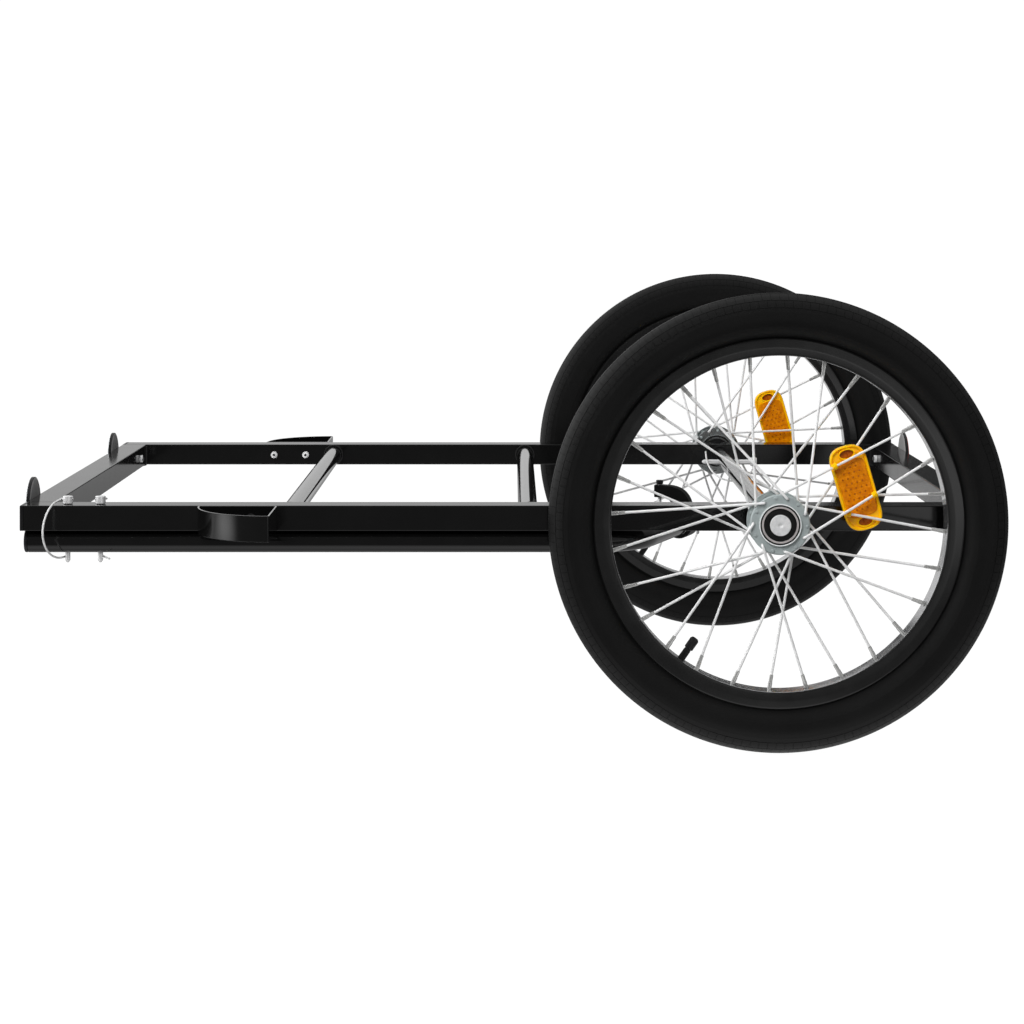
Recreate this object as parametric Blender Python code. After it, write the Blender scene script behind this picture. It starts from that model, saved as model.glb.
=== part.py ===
# Two-wheeled bicycle trailer chassis with its drawbar stowed under the left side rail.
# Metres, +Z up, ground at Z = 0. The trailer is towed towards -X, so its left side is -Y.

import math

import bmesh
import bpy
from mathutils import Matrix, Vector

for old_object in list(bpy.data.objects):
    bpy.data.objects.remove(old_object, do_unlink=True)

# Clearance that neighbouring pieces keep to each other
GAP = 0.0003

# Facets of round pieces, and the share of a turned piece's radius that its cut edges take
TUBE_SIDES = 16
BOLT_SIDES = 10
PIN_SIDES = 8
NUT_SIDES = 6
EDGE_SHARE = 0.3

# Frame
FRAME_LENGTH = 0.848
FRAME_WIDTH = 0.620
RAIL_WIDTH = 0.030
MEMBER_WIDTH = 0.026
PROFILE_HEIGHT = 0.022
PROFILE_WALL = 0.0015
PROFILE_CORNER = 0.002
PLUG_HEAD = 0.003
PLUG_STEM = 0.012
CROSS_TUBE_DIAMETER = 0.0175
CROSS_TUBE_WALL = 0.0015
FRONT_CROSS_TUBE_FROM_FRONT = 0.232
MIDDLE_CROSS_TUBE_FROM_FRONT = 0.442

# Axle
AXLE_FROM_REAR = 0.192
AXLE_TUBE_DIAMETER = 0.016
AXLE_TUBE_WALL = 0.0016
AXLE_TUBE_INSET = 0.0005
STUB_AXLE_DIAMETER = 0.012
STUB_AXLE_END_FROM_PLANE = 0.150
AXLE_CAP_DIAMETER = 0.018
AXLE_CAP_THICKNESS = 0.0022
AXLE_COLLAR_DIAMETER = 0.018
AXLE_PIN_FROM_PLANE = 0.140

# Wheels
TYRE_DIAMETER = 0.396
TYRE_WIDTH = 0.046
TYRE_BEAD_WIDTH = 0.002
TYRE_SIDEWALL = 0.003
TYRE_TREAD = 0.005
TYRE_FOOT_RISE = 0.005
TYRE_FOOT_SHARE = 0.89
TYRE_SHOULDER_DROP = 0.006
TYRE_SHOULDER_SHARE = 0.72
INNER_TUBE_PLAY = 0.00075
WHEEL_PLANE_FROM_RAIL = 0.030
TYRE_HEIGHT = 0.040
RIM_DEPTH = 0.0145
RIM_BED_THICKNESS = 0.003
RIM_WIDTH = 0.025
RIM_WALL = 0.0018
RIM_SHOULDER = 0.0035
RIM_FLAT_SHARE = 0.56
RIM_CHANNEL_SHARE = 0.48
WHEEL_SEGMENTS = 32
HUB_SEGMENTS = 18
VALVE_ANGLE = math.radians(234.5)
VALVE_STEM_DIAMETER = 0.0064
VALVE_TIP_FROM_RIM = 0.0218
VALVE_CAP_DIAMETER = 0.008
VALVE_CAP_LENGTH = 0.011

# Hubs and spokes
SPOKES_PER_FLANGE = 14
SPOKE_DIAMETER = 0.002
SPOKE_HEAD_DIAMETER = 0.0036
SPOKE_HEAD_THICKNESS = 0.0008
SPOKE_SIDES = 4
OUTER_FLANGE_FIRST_HOLE = math.radians(22.6)
INNER_FLANGE_FIRST_HOLE = math.radians(9.75)
SPOKE_CROSS_HOLES = 2
SWAPPED_SPOKES = ((1, 3), (-1, 13))
SPOKE_HOLE_CIRCLE_RADIUS = 0.0229
HUB_FLANGE_DIAMETER = 0.0516
HUB_FLANGE_OUTER_FACE = 0.017
HUB_FLANGE_THICKNESS = 0.003
HUB_BARREL_DIAMETER = 0.033
HUB_BARREL_WALL = 0.0043
HUB_BOSS_DIAMETER = 0.0364
HUB_HALF_LENGTH = 0.0195
BEARING_OUTER_DIAMETER = 0.0276
BEARING_WIDTH = 0.0078
SPACER_WALL = 0.0022
NIPPLE_BODY_LENGTH = 0.0135
NIPPLE_SIZE = 0.0034
NIPPLE_HEAD_SIZE = 0.0050
NIPPLE_HEAD_THICKNESS = 0.0012
NIPPLE_HEAD_RISE = 0.0010
NIPPLE_EDGE = 0.00002
SPOKE_HEAD_TAPER = 0.05
RIM_TAPE_WIDTH = 0.011
RIM_TAPE_THICKNESS = 0.001
NIPPLE_OFFSET_FROM_CENTRE = 0.0015

# Spoke reflectors
SPOKE_REFLECTOR_RADIUS = 0.073
SPOKE_REFLECTOR_ANGLE = math.radians(24.3)
SPOKE_REFLECTOR_TILT = math.radians(16.0)
SPOKE_REFLECTOR_LENGTH = 0.074
SPOKE_REFLECTOR_WIDTH = 0.032
SPOKE_REFLECTOR_THICKNESS = 0.0072
SPOKE_LENS_LENGTH = 0.050
SPOKE_LENS_WIDTH = 0.020
SPOKE_CLIP_SIZE = 0.004
CLIP_SLOPE_REACH = 0.003
SPOKE_REFLECTOR_ARC_STEPS = 6

# End reflectors
END_REFLECTOR_DIAMETER = 0.056
END_REFLECTOR_FROM_SIDE = 0.078
END_REFLECTOR_DEPTH = 0.0035
END_REFLECTOR_WALL = 0.0015
END_LENS_THICKNESS = 0.0042
END_LENS_RISE = 0.0022
END_REFLECTOR_SEGMENTS = 18
STUD_DIAMETER = 0.005
NUT_ACROSS_CORNERS = 0.0092
NUT_THICKNESS = 0.004
STUD_PROUD = 0.0015

# Strap loops
LOOP_FROM_FRONT = 0.1553
LOOP_REACH = 0.077
LOOP_LENGTH = 0.0687
LOOP_THICKNESS = 0.0015
LOOP_ARC_STEPS = 8
LOOP_BOLT_INSET = 0.0117
LOOP_BOLT_PITCH = 0.0344
LOOP_BOLT_DIAMETER = 0.005
LOOP_BOLT_HEAD_DIAMETER = 0.0092
LOOP_BOLT_HEAD_THICKNESS = 0.0027

# Drawbar
DRAWBAR_DIAMETER = 0.020
DRAWBAR_WALL = 0.002
DRAWBAR_FRONT_INSET = 0.0024
DRAWBAR_CORNER_FROM_AXLE = 0.1208
DRAWBAR_BEND_ANGLE = math.radians(69.2)
DRAWBAR_BEND_RADIUS = 0.055
DRAWBAR_BEND_STEPS = 7
DRAWBAR_LEG_LENGTH = 0.125
DRAWBAR_SIDES = 12
DRAWBAR_PLUG_HEAD = 0.003
DRAWBAR_PLUG_STEM = 0.014
DRAWBAR_STEM_PLAY = 0.00045

# Lock pins with spring wire bows
LOCK_PIN_DIAMETER = 0.0045
LOCK_PIN_LENGTH = 0.0515
LOCK_PIN_HEAD_DIAMETER = 0.009
LOCK_PIN_HEAD_HEIGHT = 0.0065
LOCK_PIN_HINGE_HEIGHT = 0.004
LOCK_PIN_HOLE_DIAMETER = 0.0055
BOW_WIRE_DIAMETER = 0.002
BOW_WIRE_SIDES = 4
BOW_REACH = 0.0445
BOW_HALF_HEIGHT = 0.0255
BOW_HOOK = 0.0129
BOW_HOLE_PLAY = 0.0004
BOW_OFFSET_AT_HEAD = 0.0060
BOW_OFFSET_AT_TIP = 0.0039
BOW_ARC_STEPS = 8
BOW_START_ANGLE = math.radians(20.0)
FRONT_DRAWBAR_PIN_FROM_FRONT = 0.0394
REAR_DRAWBAR_PIN_FROM_FRONT = 0.0680
FRONT_DRAWBAR_BOW_TURN = math.radians(12.0)
REAR_DRAWBAR_BOW_TURN = math.radians(27.0)
AXLE_PIN_HEAD_FROM_AXLE = 0.0262
AXLE_BOW_DROP = math.radians(28.0)

# Hitch on the end of the drawbar
HITCH_SHAFT_DIAMETER = 0.010
HITCH_SHAFT_INSIDE = 0.030
HITCH_SHAFT_END = 0.080
HITCH_BUSH_HEAD = 0.003
HITCH_BUSH_STEM = 0.022
HITCH_CLAW_THICKNESS = 0.024
HITCH_SLEEVE_LENGTH = 0.037
HITCH_SLEEVE_DIAMETER = 0.017
HITCH_SLEEVE_WAIST = 0.01445
HITCH_SLEEVE_BAND = 0.0055
HITCH_CROSS_PIN_DIAMETER = 0.003
HITCH_CROSS_PIN_BELOW = 0.0165
HITCH_CROSS_PIN_ABOVE = 0.0135
HITCH_CROSS_PIN_HEAD = 0.0056
CLAW_COLLAR_RADIUS = 0.0135
CLAW_PIN_DISTANCE = 0.0215
CLAW_JAW_END = 0.0255
CLAW_JAW_THICKNESS = 0.011
CLAW_LOWER_JAW_TOP = 0.004
CLAW_LOWER_JAW_BOTTOM = -0.006
CLAW_UPPER_JAW_BOTTOM = 0.023
CLAW_UPPER_JAW_TOP = 0.0343
CLAW_PIN_DIAMETER = 0.0034
CLAW_PIN_HOLE_DIAMETER = 0.0042
CLAW_PIN_TIP = -0.004
CLAW_KNOB_DIAMETER = 0.0066
CLAW_KNOB_HEIGHT = 0.0035
CLAW_JAW_TIP_RISE = 0.0005
CLAW_MOUTH_BACK_FROM = -0.0155
CLAW_MOUTH_BACK_DEPTH = 0.0074
CLAW_ARCH_FROM = -0.0174
CLAW_ARCH_REACH = 0.0101
CLAW_ARCH_FOOT = 0.0068
CLAW_ARCH_POWER = 2.6
CLAW_ARC_STEPS = 6

# Heights and planes that follow from the sizes above
FRAME_FRONT_X = -FRAME_LENGTH / 2
AXLE_X = FRAME_LENGTH / 2 - AXLE_FROM_REAR
AXLE_HEIGHT = TYRE_DIAMETER / 2
RAIL_TOP = AXLE_HEIGHT + PROFILE_HEIGHT / 2
RAIL_BOTTOM = AXLE_HEIGHT - PROFILE_HEIGHT / 2
RAIL_INNER_Y = FRAME_WIDTH / 2 - RAIL_WIDTH
RAIL_CENTRE_Y = FRAME_WIDTH / 2 - RAIL_WIDTH / 2
WHEEL_PLANE_Y = FRAME_WIDTH / 2 + WHEEL_PLANE_FROM_RAIL
END_REFLECTOR_Y = FRAME_WIDTH / 2 - END_REFLECTOR_FROM_SIDE
RIM_OUTER_DIAMETER = TYRE_DIAMETER - 2 * TYRE_HEIGHT
RIM_BED_RADIUS = RIM_OUTER_DIAMETER / 2 - RIM_DEPTH
VALVE_TIP_RADIUS = RIM_BED_RADIUS - VALVE_TIP_FROM_RIM
FRONT_CROSS_TUBE_X = FRAME_FRONT_X + FRONT_CROSS_TUBE_FROM_FRONT
MIDDLE_CROSS_TUBE_X = FRAME_FRONT_X + MIDDLE_CROSS_TUBE_FROM_FRONT
LOOP_FRONT_X = FRAME_FRONT_X + LOOP_FROM_FRONT
DRAWBAR_CORNER_X = AXLE_X - DRAWBAR_CORNER_FROM_AXLE
FRONT_DRAWBAR_PIN_X = FRAME_FRONT_X + FRONT_DRAWBAR_PIN_FROM_FRONT
REAR_DRAWBAR_PIN_X = FRAME_FRONT_X + REAR_DRAWBAR_PIN_FROM_FRONT
DRAWBAR_Z = RAIL_BOTTOM - GAP - DRAWBAR_DIAMETER / 2
BEARING_BORE_RADIUS = STUB_AXLE_DIAMETER / 2 + GAP
BEARING_SEAT_RADIUS = BEARING_OUTER_DIAMETER / 2 + GAP

X_AXIS = Vector((1, 0, 0))
Y_AXIS = Vector((0, 1, 0))
Z_AXIS = Vector((0, 0, 1))


def make_material(name, colour, roughness, metallic):
    material = bpy.data.materials.new(name)
    material.use_nodes = True
    shader = material.node_tree.nodes["Principled BSDF"]
    shader.inputs["Base Color"].default_value = (*colour, 1.0)
    shader.inputs["Roughness"].default_value = roughness
    shader.inputs["Metallic"].default_value = metallic
    material.diffuse_color = (*colour, 1.0)
    return material


BLACK_POWDER_COAT = make_material("black_powder_coat", (0.012, 0.012, 0.013), 0.25, 0.0)
BLACK_PLASTIC = make_material("black_plastic", (0.015, 0.015, 0.015), 0.45, 0.0)
BLACK_RUBBER = make_material("black_rubber", (0.012, 0.012, 0.012), 0.7, 0.0)
TYRE_RUBBER = make_material("tyre_rubber", (0.02, 0.02, 0.02), 0.75, 0.0)
ZINC_PLATED = make_material("zinc_plated_steel", (0.6, 0.62, 0.64), 0.3, 1.0)
HUB_STEEL = make_material("hub_steel", (0.33, 0.38, 0.39), 0.4, 1.0)
SPOKE_STEEL = make_material("spoke_steel", (0.75, 0.75, 0.75), 0.25, 1.0)
BEARING_STEEL = make_material("bearing_steel", (0.3, 0.3, 0.3), 0.35, 1.0)
BLACK_RIM = make_material("black_rim_enamel", (0.02, 0.02, 0.02), 0.2, 0.3)
AMBER_PLASTIC = make_material("amber_plastic", (0.85, 0.4, 0.0), 0.3, 0.0)
AMBER_LENS = make_material("amber_lens", (0.6, 0.18, 0.0), 0.15, 0.0)
CLEAR_LENS = make_material("clear_lens", (0.8, 0.8, 0.8), 0.1, 0.0)
RED_LENS = make_material("red_lens", (0.6, 0.03, 0.01), 0.12, 0.0)


def frame_matrix(origin, x_axis, y_axis, z_axis):
    columns = Matrix((x_axis, y_axis, z_axis)).transposed().to_4x4()
    return Matrix.Translation(origin) @ columns


def axis_matrix(origin, direction):
    # A frame whose +Y runs along the direction, for turned pieces
    y_axis = Vector(direction).normalized()
    helper = Z_AXIS if abs(y_axis.z) < 0.9 else X_AXIS
    x_axis = y_axis.cross(helper).normalized()
    z_axis = x_axis.cross(y_axis)
    return frame_matrix(Vector(origin), x_axis, y_axis, z_axis)


def turned(bm, profile, segments, matrix=Matrix.Identity(4), closed=True):
    # Spins a profile of (radius, distance along Y) about Y. An open one starts and ends on the axis.
    part = bmesh.new()
    verts = [part.verts.new((radius, along, 0.0)) for radius, along in profile]
    count = len(verts)
    edge_count = count if closed else count - 1
    edges = [part.edges.new((verts[i], verts[(i + 1) % count])) for i in range(edge_count)]
    bmesh.ops.spin(part, geom=verts + edges, cent=(0, 0, 0), axis=(0, 1, 0),
                   angle=math.tau, steps=segments, use_merge=True)
    bmesh.ops.remove_doubles(part, verts=part.verts, dist=1e-6)
    bmesh.ops.recalc_face_normals(part, faces=part.faces)
    bmesh.ops.transform(part, matrix=matrix, verts=part.verts)
    append(bm, part)


def append(bm, part):
    # Adds one bmesh to another and frees it
    mesh = bpy.data.meshes.new("scratch")
    part.to_mesh(mesh)
    part.free()
    bm.from_mesh(mesh)
    bpy.data.meshes.remove(mesh)


def cylinder(bm, radius, start, end, segments, matrix):
    turned(bm, [(0, start), (radius, start), (radius, end), (0, end)], segments, matrix, closed=False)


def cut_end(radius, end, way):
    # The end of a turned profile on the axis, its edge cut at 45 degrees. The way is 1 towards local +Y.
    edge = radius * EDGE_SHARE
    return [(radius, end - way * edge), (radius - edge, end), (0, end)]


def cut_start(radius, end, way):
    return list(reversed(cut_end(radius, end, way)))


def prism(bm, outline, low, high, matrix=Matrix.Identity(4)):
    # Extrudes an outline in the local XZ plane from low to high along local Y
    part = bmesh.new()
    face = part.faces.new([part.verts.new((x, low, z)) for x, z in outline])
    grown = bmesh.ops.extrude_face_region(part, geom=[face])
    moved = [item for item in grown["geom"] if isinstance(item, bmesh.types.BMVert)]
    bmesh.ops.translate(part, vec=(0, high - low, 0), verts=moved)
    bmesh.ops.recalc_face_normals(part, faces=part.faces)
    bmesh.ops.transform(part, matrix=matrix, verts=part.verts)
    append(bm, part)


def band(bm, outer, inner, low, high, matrix=Matrix.Identity(4)):
    # A closed wall between two outlines of as many points, in local XZ, from low to high along Y
    part = bmesh.new()
    loops = []
    for outline, level in ((outer, low), (outer, high), (inner, high), (inner, low)):
        loops.append([part.verts.new((x, level, z)) for x, z in outline])
    count = len(outer)
    for k in range(4):
        near, far = loops[k], loops[(k + 1) % 4]
        for i in range(count):
            j = (i + 1) % count
            part.faces.new((near[i], near[j], far[j], far[i]))
    bmesh.ops.recalc_face_normals(part, faces=part.faces)
    bmesh.ops.transform(part, matrix=matrix, verts=part.verts)
    append(bm, part)


def path_frames(points):
    # Carries one normal along the path, so the tube does not twist, and widens it at its corners
    tangents = []
    for i in range(len(points)):
        before = (points[i] - points[i - 1]).normalized() if i > 0 else None
        after = (points[i + 1] - points[i]).normalized() if i < len(points) - 1 else None
        if before is None or (after is not None and (after - before).length < 1e-9):
            before = after
        if after is None:
            after = before
        tangents.append(((before + after).normalized(), before, after))
    start = tangents[0][0]
    helper = Z_AXIS if abs(start.z) < 0.9 else X_AXIS
    normal = start.cross(helper).normalized()
    frames = []
    for i, (tangent, before, after) in enumerate(tangents):
        if i > 0:
            turn = tangents[i - 1][0].rotation_difference(tangent)
            normal = turn @ normal
        binormal = tangent.cross(normal)
        bend = before.cross(after)
        stretch = 1.0 / max(tangent.dot(before), 0.3)
        frames.append((normal, binormal, tangent, bend, stretch))
    return frames


def ring_points(centre, frame, radius, sides):
    normal, binormal, tangent, bend, stretch = frame
    points = []
    for k in range(sides):
        angle = math.tau * k / sides
        offset = normal * math.cos(angle) * radius + binormal * math.sin(angle) * radius
        if bend.length > 1e-6:
            side = tangent.cross(bend).normalized()
            offset += side * offset.dot(side) * (stretch - 1.0)
        points.append(centre + offset)
    return points


def swept(bm, points, radii, sides):
    # A solid round wire or rod along the points
    part = bmesh.new()
    frames = path_frames(points)
    rings = []
    for centre, frame, radius in zip(points, frames, radii):
        rings.append([part.verts.new(p) for p in ring_points(centre, frame, radius, sides)])
    for first, second in zip(rings, rings[1:]):
        for k in range(sides):
            j = (k + 1) % sides
            part.faces.new((first[k], first[j], second[j], second[k]))
    part.faces.new(rings[0])
    part.faces.new(rings[-1])
    bmesh.ops.recalc_face_normals(part, faces=part.faces)
    append(bm, part)


def swept_tube(bm, points, outer_radius, inner_radius, sides):
    # A hollow tube along the points, open at both ends
    part = bmesh.new()
    frames = path_frames(points)
    outer, inner = [], []
    for centre, frame in zip(points, frames):
        outer.append([part.verts.new(p) for p in ring_points(centre, frame, outer_radius, sides)])
        inner.append([part.verts.new(p) for p in ring_points(centre, frame, inner_radius, sides)])
    walls = list(zip(outer, outer[1:])) + list(zip(inner, inner[1:]))
    walls += [(outer[0], inner[0]), (outer[-1], inner[-1])]
    for first, second in walls:
        for k in range(sides):
            j = (k + 1) % sides
            part.faces.new((first[k], first[j], second[j], second[k]))
    bmesh.ops.recalc_face_normals(part, faces=part.faces)
    append(bm, part)


def add_object(name, bm, material, matrix=None, parent=None, smooth=True):
    # The mesh is given in the object's own frame, which the matrix places in the world
    mesh = bpy.data.meshes.new(name)
    bm.to_mesh(mesh)
    bm.free()
    if smooth:
        mesh.shade_smooth()
        mesh.set_sharp_from_angle(angle=math.radians(40))
    mesh.materials.append(material)
    item = bpy.data.objects.new(name, mesh)
    bpy.context.scene.collection.objects.link(item)
    if parent is not None:
        item.parent = parent
    if matrix is not None:
        item.matrix_basis = matrix
    return item


def add_empty(name, location):
    empty = bpy.data.objects.new(name, None)
    empty.location = location
    empty.empty_display_size = 0.03
    bpy.context.scene.collection.objects.link(empty)
    return empty


def boolean(target, bm, operation, name):
    # Keeps the modifier live. The cutter stays in the file as a hidden guide.
    tool = add_object(name, bm, target.data.materials[0], target.matrix_basis.copy(), target.parent, False)
    tool.hide_render = True
    tool.display_type = "WIRE"
    modifier = target.modifiers.new(name, "BOOLEAN")
    modifier.operation = operation
    modifier.solver = "EXACT"
    modifier.object = tool


def rounded_rectangle(width, height, radius):
    points = []
    for corner_x, corner_z, first in ((1, 1, 0), (-1, 1, 90), (-1, -1, 180), (1, -1, 270)):
        for step in range(3):
            angle = math.radians(first + 45 * step)
            points.append((corner_x * (width / 2 - radius) + radius * math.cos(angle),
                           corner_z * (height / 2 - radius) + radius * math.sin(angle)))
    return points


def profile_tube(bm, width, start, end, matrix):
    # Rectangular steel tube along local Y, its width along local X
    outer = rounded_rectangle(width, PROFILE_HEIGHT, PROFILE_CORNER)
    inner = rounded_rectangle(width - 2 * PROFILE_WALL, PROFILE_HEIGHT - 2 * PROFILE_WALL,
                              PROFILE_CORNER - PROFILE_WALL)
    band(bm, outer, inner, start, end, matrix)


def along_x(x, y, z):
    # Local +Y runs along world +X and local +Z stays up
    return frame_matrix(Vector((x, y, z)), -Y_AXIS, X_AXIS, Z_AXIS)


def along_y(x, y, z, side=1):
    # Local +Y runs along world Y, outwards for the given side
    return frame_matrix(Vector((x, y, z)), X_AXIS * side, Y_AXIS * side, Z_AXIS)


def down(x, y, z):
    return axis_matrix((x, y, z), -Z_AXIS)


def loop_bolt_positions():
    first = LOOP_FRONT_X + LOOP_BOLT_INSET
    return [first, first + LOOP_BOLT_PITCH]


def build_side_rails():
    half = FRAME_LENGTH / 2 - PLUG_HEAD - GAP
    for name, side in (("left", -1), ("right", 1)):
        bm = bmesh.new()
        profile_tube(bm, RAIL_WIDTH, -half, half, along_x(0, side * RAIL_CENTRE_Y, AXLE_HEIGHT))
        rail = add_object(name + "_side_rail", bm, BLACK_POWDER_COAT, smooth=False)
        holes = bmesh.new()
        reach = RAIL_WIDTH
        axle_hole = AXLE_TUBE_DIAMETER / 2 + GAP
        cylinder(holes, axle_hole, -reach, reach, TUBE_SIDES,
                 along_y(AXLE_X, side * RAIL_CENTRE_Y, AXLE_HEIGHT))
        for x in loop_bolt_positions():
            cylinder(holes, LOOP_BOLT_DIAMETER / 2 + GAP, -reach, reach, PIN_SIDES,
                     along_y(x, side * RAIL_CENTRE_Y, AXLE_HEIGHT))
        if side < 0:
            for x in (FRONT_DRAWBAR_PIN_X, REAR_DRAWBAR_PIN_X):
                cylinder(holes, LOCK_PIN_HOLE_DIAMETER / 2, -PROFILE_HEIGHT, PROFILE_HEIGHT, PIN_SIDES,
                         down(x, -RAIL_CENTRE_Y, AXLE_HEIGHT))
        boolean(rail, holes, "DIFFERENCE", name + "_side_rail_holes")


def build_rail_end_plugs():
    head = rounded_rectangle(RAIL_WIDTH, PROFILE_HEIGHT, PROFILE_CORNER)
    play = 2 * (PROFILE_WALL + GAP)
    stem = rounded_rectangle(RAIL_WIDTH - play, PROFILE_HEIGHT - play, PROFILE_CORNER - PROFILE_WALL)
    for end_name, end in (("front", -1), ("rear", 1)):
        for side_name, side in (("left", -1), ("right", 1)):
            bm = bmesh.new()
            plug_body(bm, head, stem)
            place = frame_matrix(Vector((end * FRAME_LENGTH / 2, side * RAIL_CENTRE_Y, AXLE_HEIGHT)),
                                 Y_AXIS * end, -X_AXIS * end, Z_AXIS)
            add_object(f"{end_name}_{side_name}_rail_plug", bm, BLACK_PLASTIC, place, smooth=False)


def plug_body(bm, head, stem):
    # Local +Y runs into the tube: a head over the tube's end and a stem inside it
    part = bmesh.new()
    levels = ((head, 0.0), (head, PLUG_HEAD), (stem, PLUG_HEAD), (stem, PLUG_HEAD + PLUG_STEM))
    rings = [[part.verts.new((x, level, z)) for x, z in outline] for outline, level in levels]
    count = len(head)
    for first, second in zip(rings, rings[1:]):
        for i in range(count):
            j = (i + 1) % count
            part.faces.new((first[i], first[j], second[j], second[i]))
    part.faces.new(rings[0])
    part.faces.new(rings[-1])
    bmesh.ops.recalc_face_normals(part, faces=part.faces)
    append(bm, part)


def build_crossmembers():
    half = RAIL_INNER_Y - GAP
    for name, end in (("front", -1), ("rear", 1)):
        centre_x = end * (FRAME_LENGTH - MEMBER_WIDTH) / 2
        bm = bmesh.new()
        profile_tube(bm, MEMBER_WIDTH, -half, half, along_y(centre_x, 0, AXLE_HEIGHT))
        member = add_object(name + "_crossmember", bm, BLACK_POWDER_COAT, smooth=False)
        holes = bmesh.new()
        for side in (-1, 1):
            cylinder(holes, STUD_DIAMETER / 2 + GAP, -MEMBER_WIDTH, MEMBER_WIDTH, PIN_SIDES,
                     along_x(centre_x, side * END_REFLECTOR_Y, AXLE_HEIGHT))
        boolean(member, holes, "DIFFERENCE", name + "_crossmember_holes")


def build_cross_tubes():
    radius = CROSS_TUBE_DIAMETER / 2
    half = RAIL_INNER_Y - GAP
    bore = radius - CROSS_TUBE_WALL
    profile = [(radius, -half), (radius, half), (bore, half), (bore, -half)]
    for name, x in (("front", FRONT_CROSS_TUBE_X), ("middle", MIDDLE_CROSS_TUBE_X)):
        bm = bmesh.new()
        turned(bm, profile, TUBE_SIDES, along_y(x, 0, AXLE_HEIGHT))
        add_object(name + "_cross_tube", bm, BLACK_POWDER_COAT)


def build_axle_tube():
    radius = AXLE_TUBE_DIAMETER / 2
    bore = radius - AXLE_TUBE_WALL
    half = FRAME_WIDTH / 2 - AXLE_TUBE_INSET
    bm = bmesh.new()
    turned(bm, [(radius, -half), (radius, half), (bore, half), (bore, -half)], TUBE_SIDES,
           along_y(AXLE_X, 0, AXLE_HEIGHT))
    tube = add_object("axle_tube", bm, BLACK_POWDER_COAT)
    holes = bmesh.new()
    for side in (-1, 1):
        y = side * (WHEEL_PLANE_Y - AXLE_PIN_FROM_PLANE)
        cylinder(holes, LOCK_PIN_HOLE_DIAMETER / 2, -AXLE_TUBE_DIAMETER, AXLE_TUBE_DIAMETER, PIN_SIDES,
                 along_x(AXLE_X, y, AXLE_HEIGHT))
    boolean(tube, holes, "DIFFERENCE", "axle_tube_holes")


def loop_outlines():
    # Plan view in (x, distance out from the rail): a quarter ellipse, a square leg and a back strip
    rear_x = LOOP_FRONT_X + LOOP_LENGTH
    inner_a = LOOP_LENGTH - LOOP_THICKNESS
    inner_b = LOOP_REACH - LOOP_THICKNESS
    low = math.asin(LOOP_THICKNESS / inner_b)
    high = math.acos(LOOP_THICKNESS / inner_a)
    outer, inner = [], []
    for step in range(LOOP_ARC_STEPS + 1):
        share = step / LOOP_ARC_STEPS
        angle = share * math.pi / 2
        outer.append((rear_x - LOOP_LENGTH * math.cos(angle), LOOP_REACH * math.sin(angle)))
        angle = low + share * (high - low)
        inner.append((rear_x - inner_a * math.cos(angle), inner_b * math.sin(angle)))
    outer.append((rear_x, 0.0))
    inner.append((rear_x - LOOP_THICKNESS, LOOP_THICKNESS))
    return outer, inner


def build_strap_loops():
    outer, inner = loop_outlines()
    for name, side in (("left", -1), ("right", 1)):
        face_y = side * (FRAME_WIDTH / 2 + GAP)
        flat = frame_matrix(Vector((0, face_y, AXLE_HEIGHT)), X_AXIS, Z_AXIS, Y_AXIS * side)
        bm = bmesh.new()
        band(bm, outer, inner, -PROFILE_HEIGHT / 2, PROFILE_HEIGHT / 2, flat)
        bmesh.ops.recalc_face_normals(bm, faces=bm.faces)
        loop = add_object(name + "_strap_loop", bm, BLACK_POWDER_COAT)
        holes = bmesh.new()
        for x in loop_bolt_positions():
            cylinder(holes, LOOP_BOLT_DIAMETER / 2 + GAP, -2 * LOOP_THICKNESS, 2 * LOOP_THICKNESS, PIN_SIDES,
                     along_y(x, face_y, AXLE_HEIGHT))
        boolean(loop, holes, "DIFFERENCE", name + "_strap_loop_holes")


def build_strap_loop_bolts():
    shank = LOOP_BOLT_DIAMETER / 2
    head = LOOP_BOLT_HEAD_DIAMETER / 2
    head_from = GAP + LOOP_THICKNESS + GAP
    head_to = head_from + LOOP_BOLT_HEAD_THICKNESS
    nut_from = -(RAIL_WIDTH + GAP)
    nut_to = nut_from - NUT_THICKNESS
    shank_to = nut_to - STUD_PROUD
    profile = cut_start(head, head_to, 1)
    profile += [(head, head_from), (shank, head_from), (shank, shank_to), (0, shank_to)]
    for side_name, side in (("left", -1), ("right", 1)):
        for place_name, x in zip(("front", "rear"), loop_bolt_positions()):
            name = f"{side_name}_strap_loop_{place_name}_bolt"
            bm = bmesh.new()
            turned(bm, profile, BOLT_SIDES, closed=False)
            bolt = add_object(name, bm, ZINC_PLATED, along_y(x, side * FRAME_WIDTH / 2, AXLE_HEIGHT, side))
            add_nut(bolt, nut_from, nut_to, name + "_nut")


def add_nut(bolt, low, high, name):
    nut = bmesh.new()
    cylinder(nut, NUT_ACROSS_CORNERS / 2, low, high, NUT_SIDES, Matrix.Identity(4))
    boolean(bolt, nut, "UNION", name)


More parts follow.
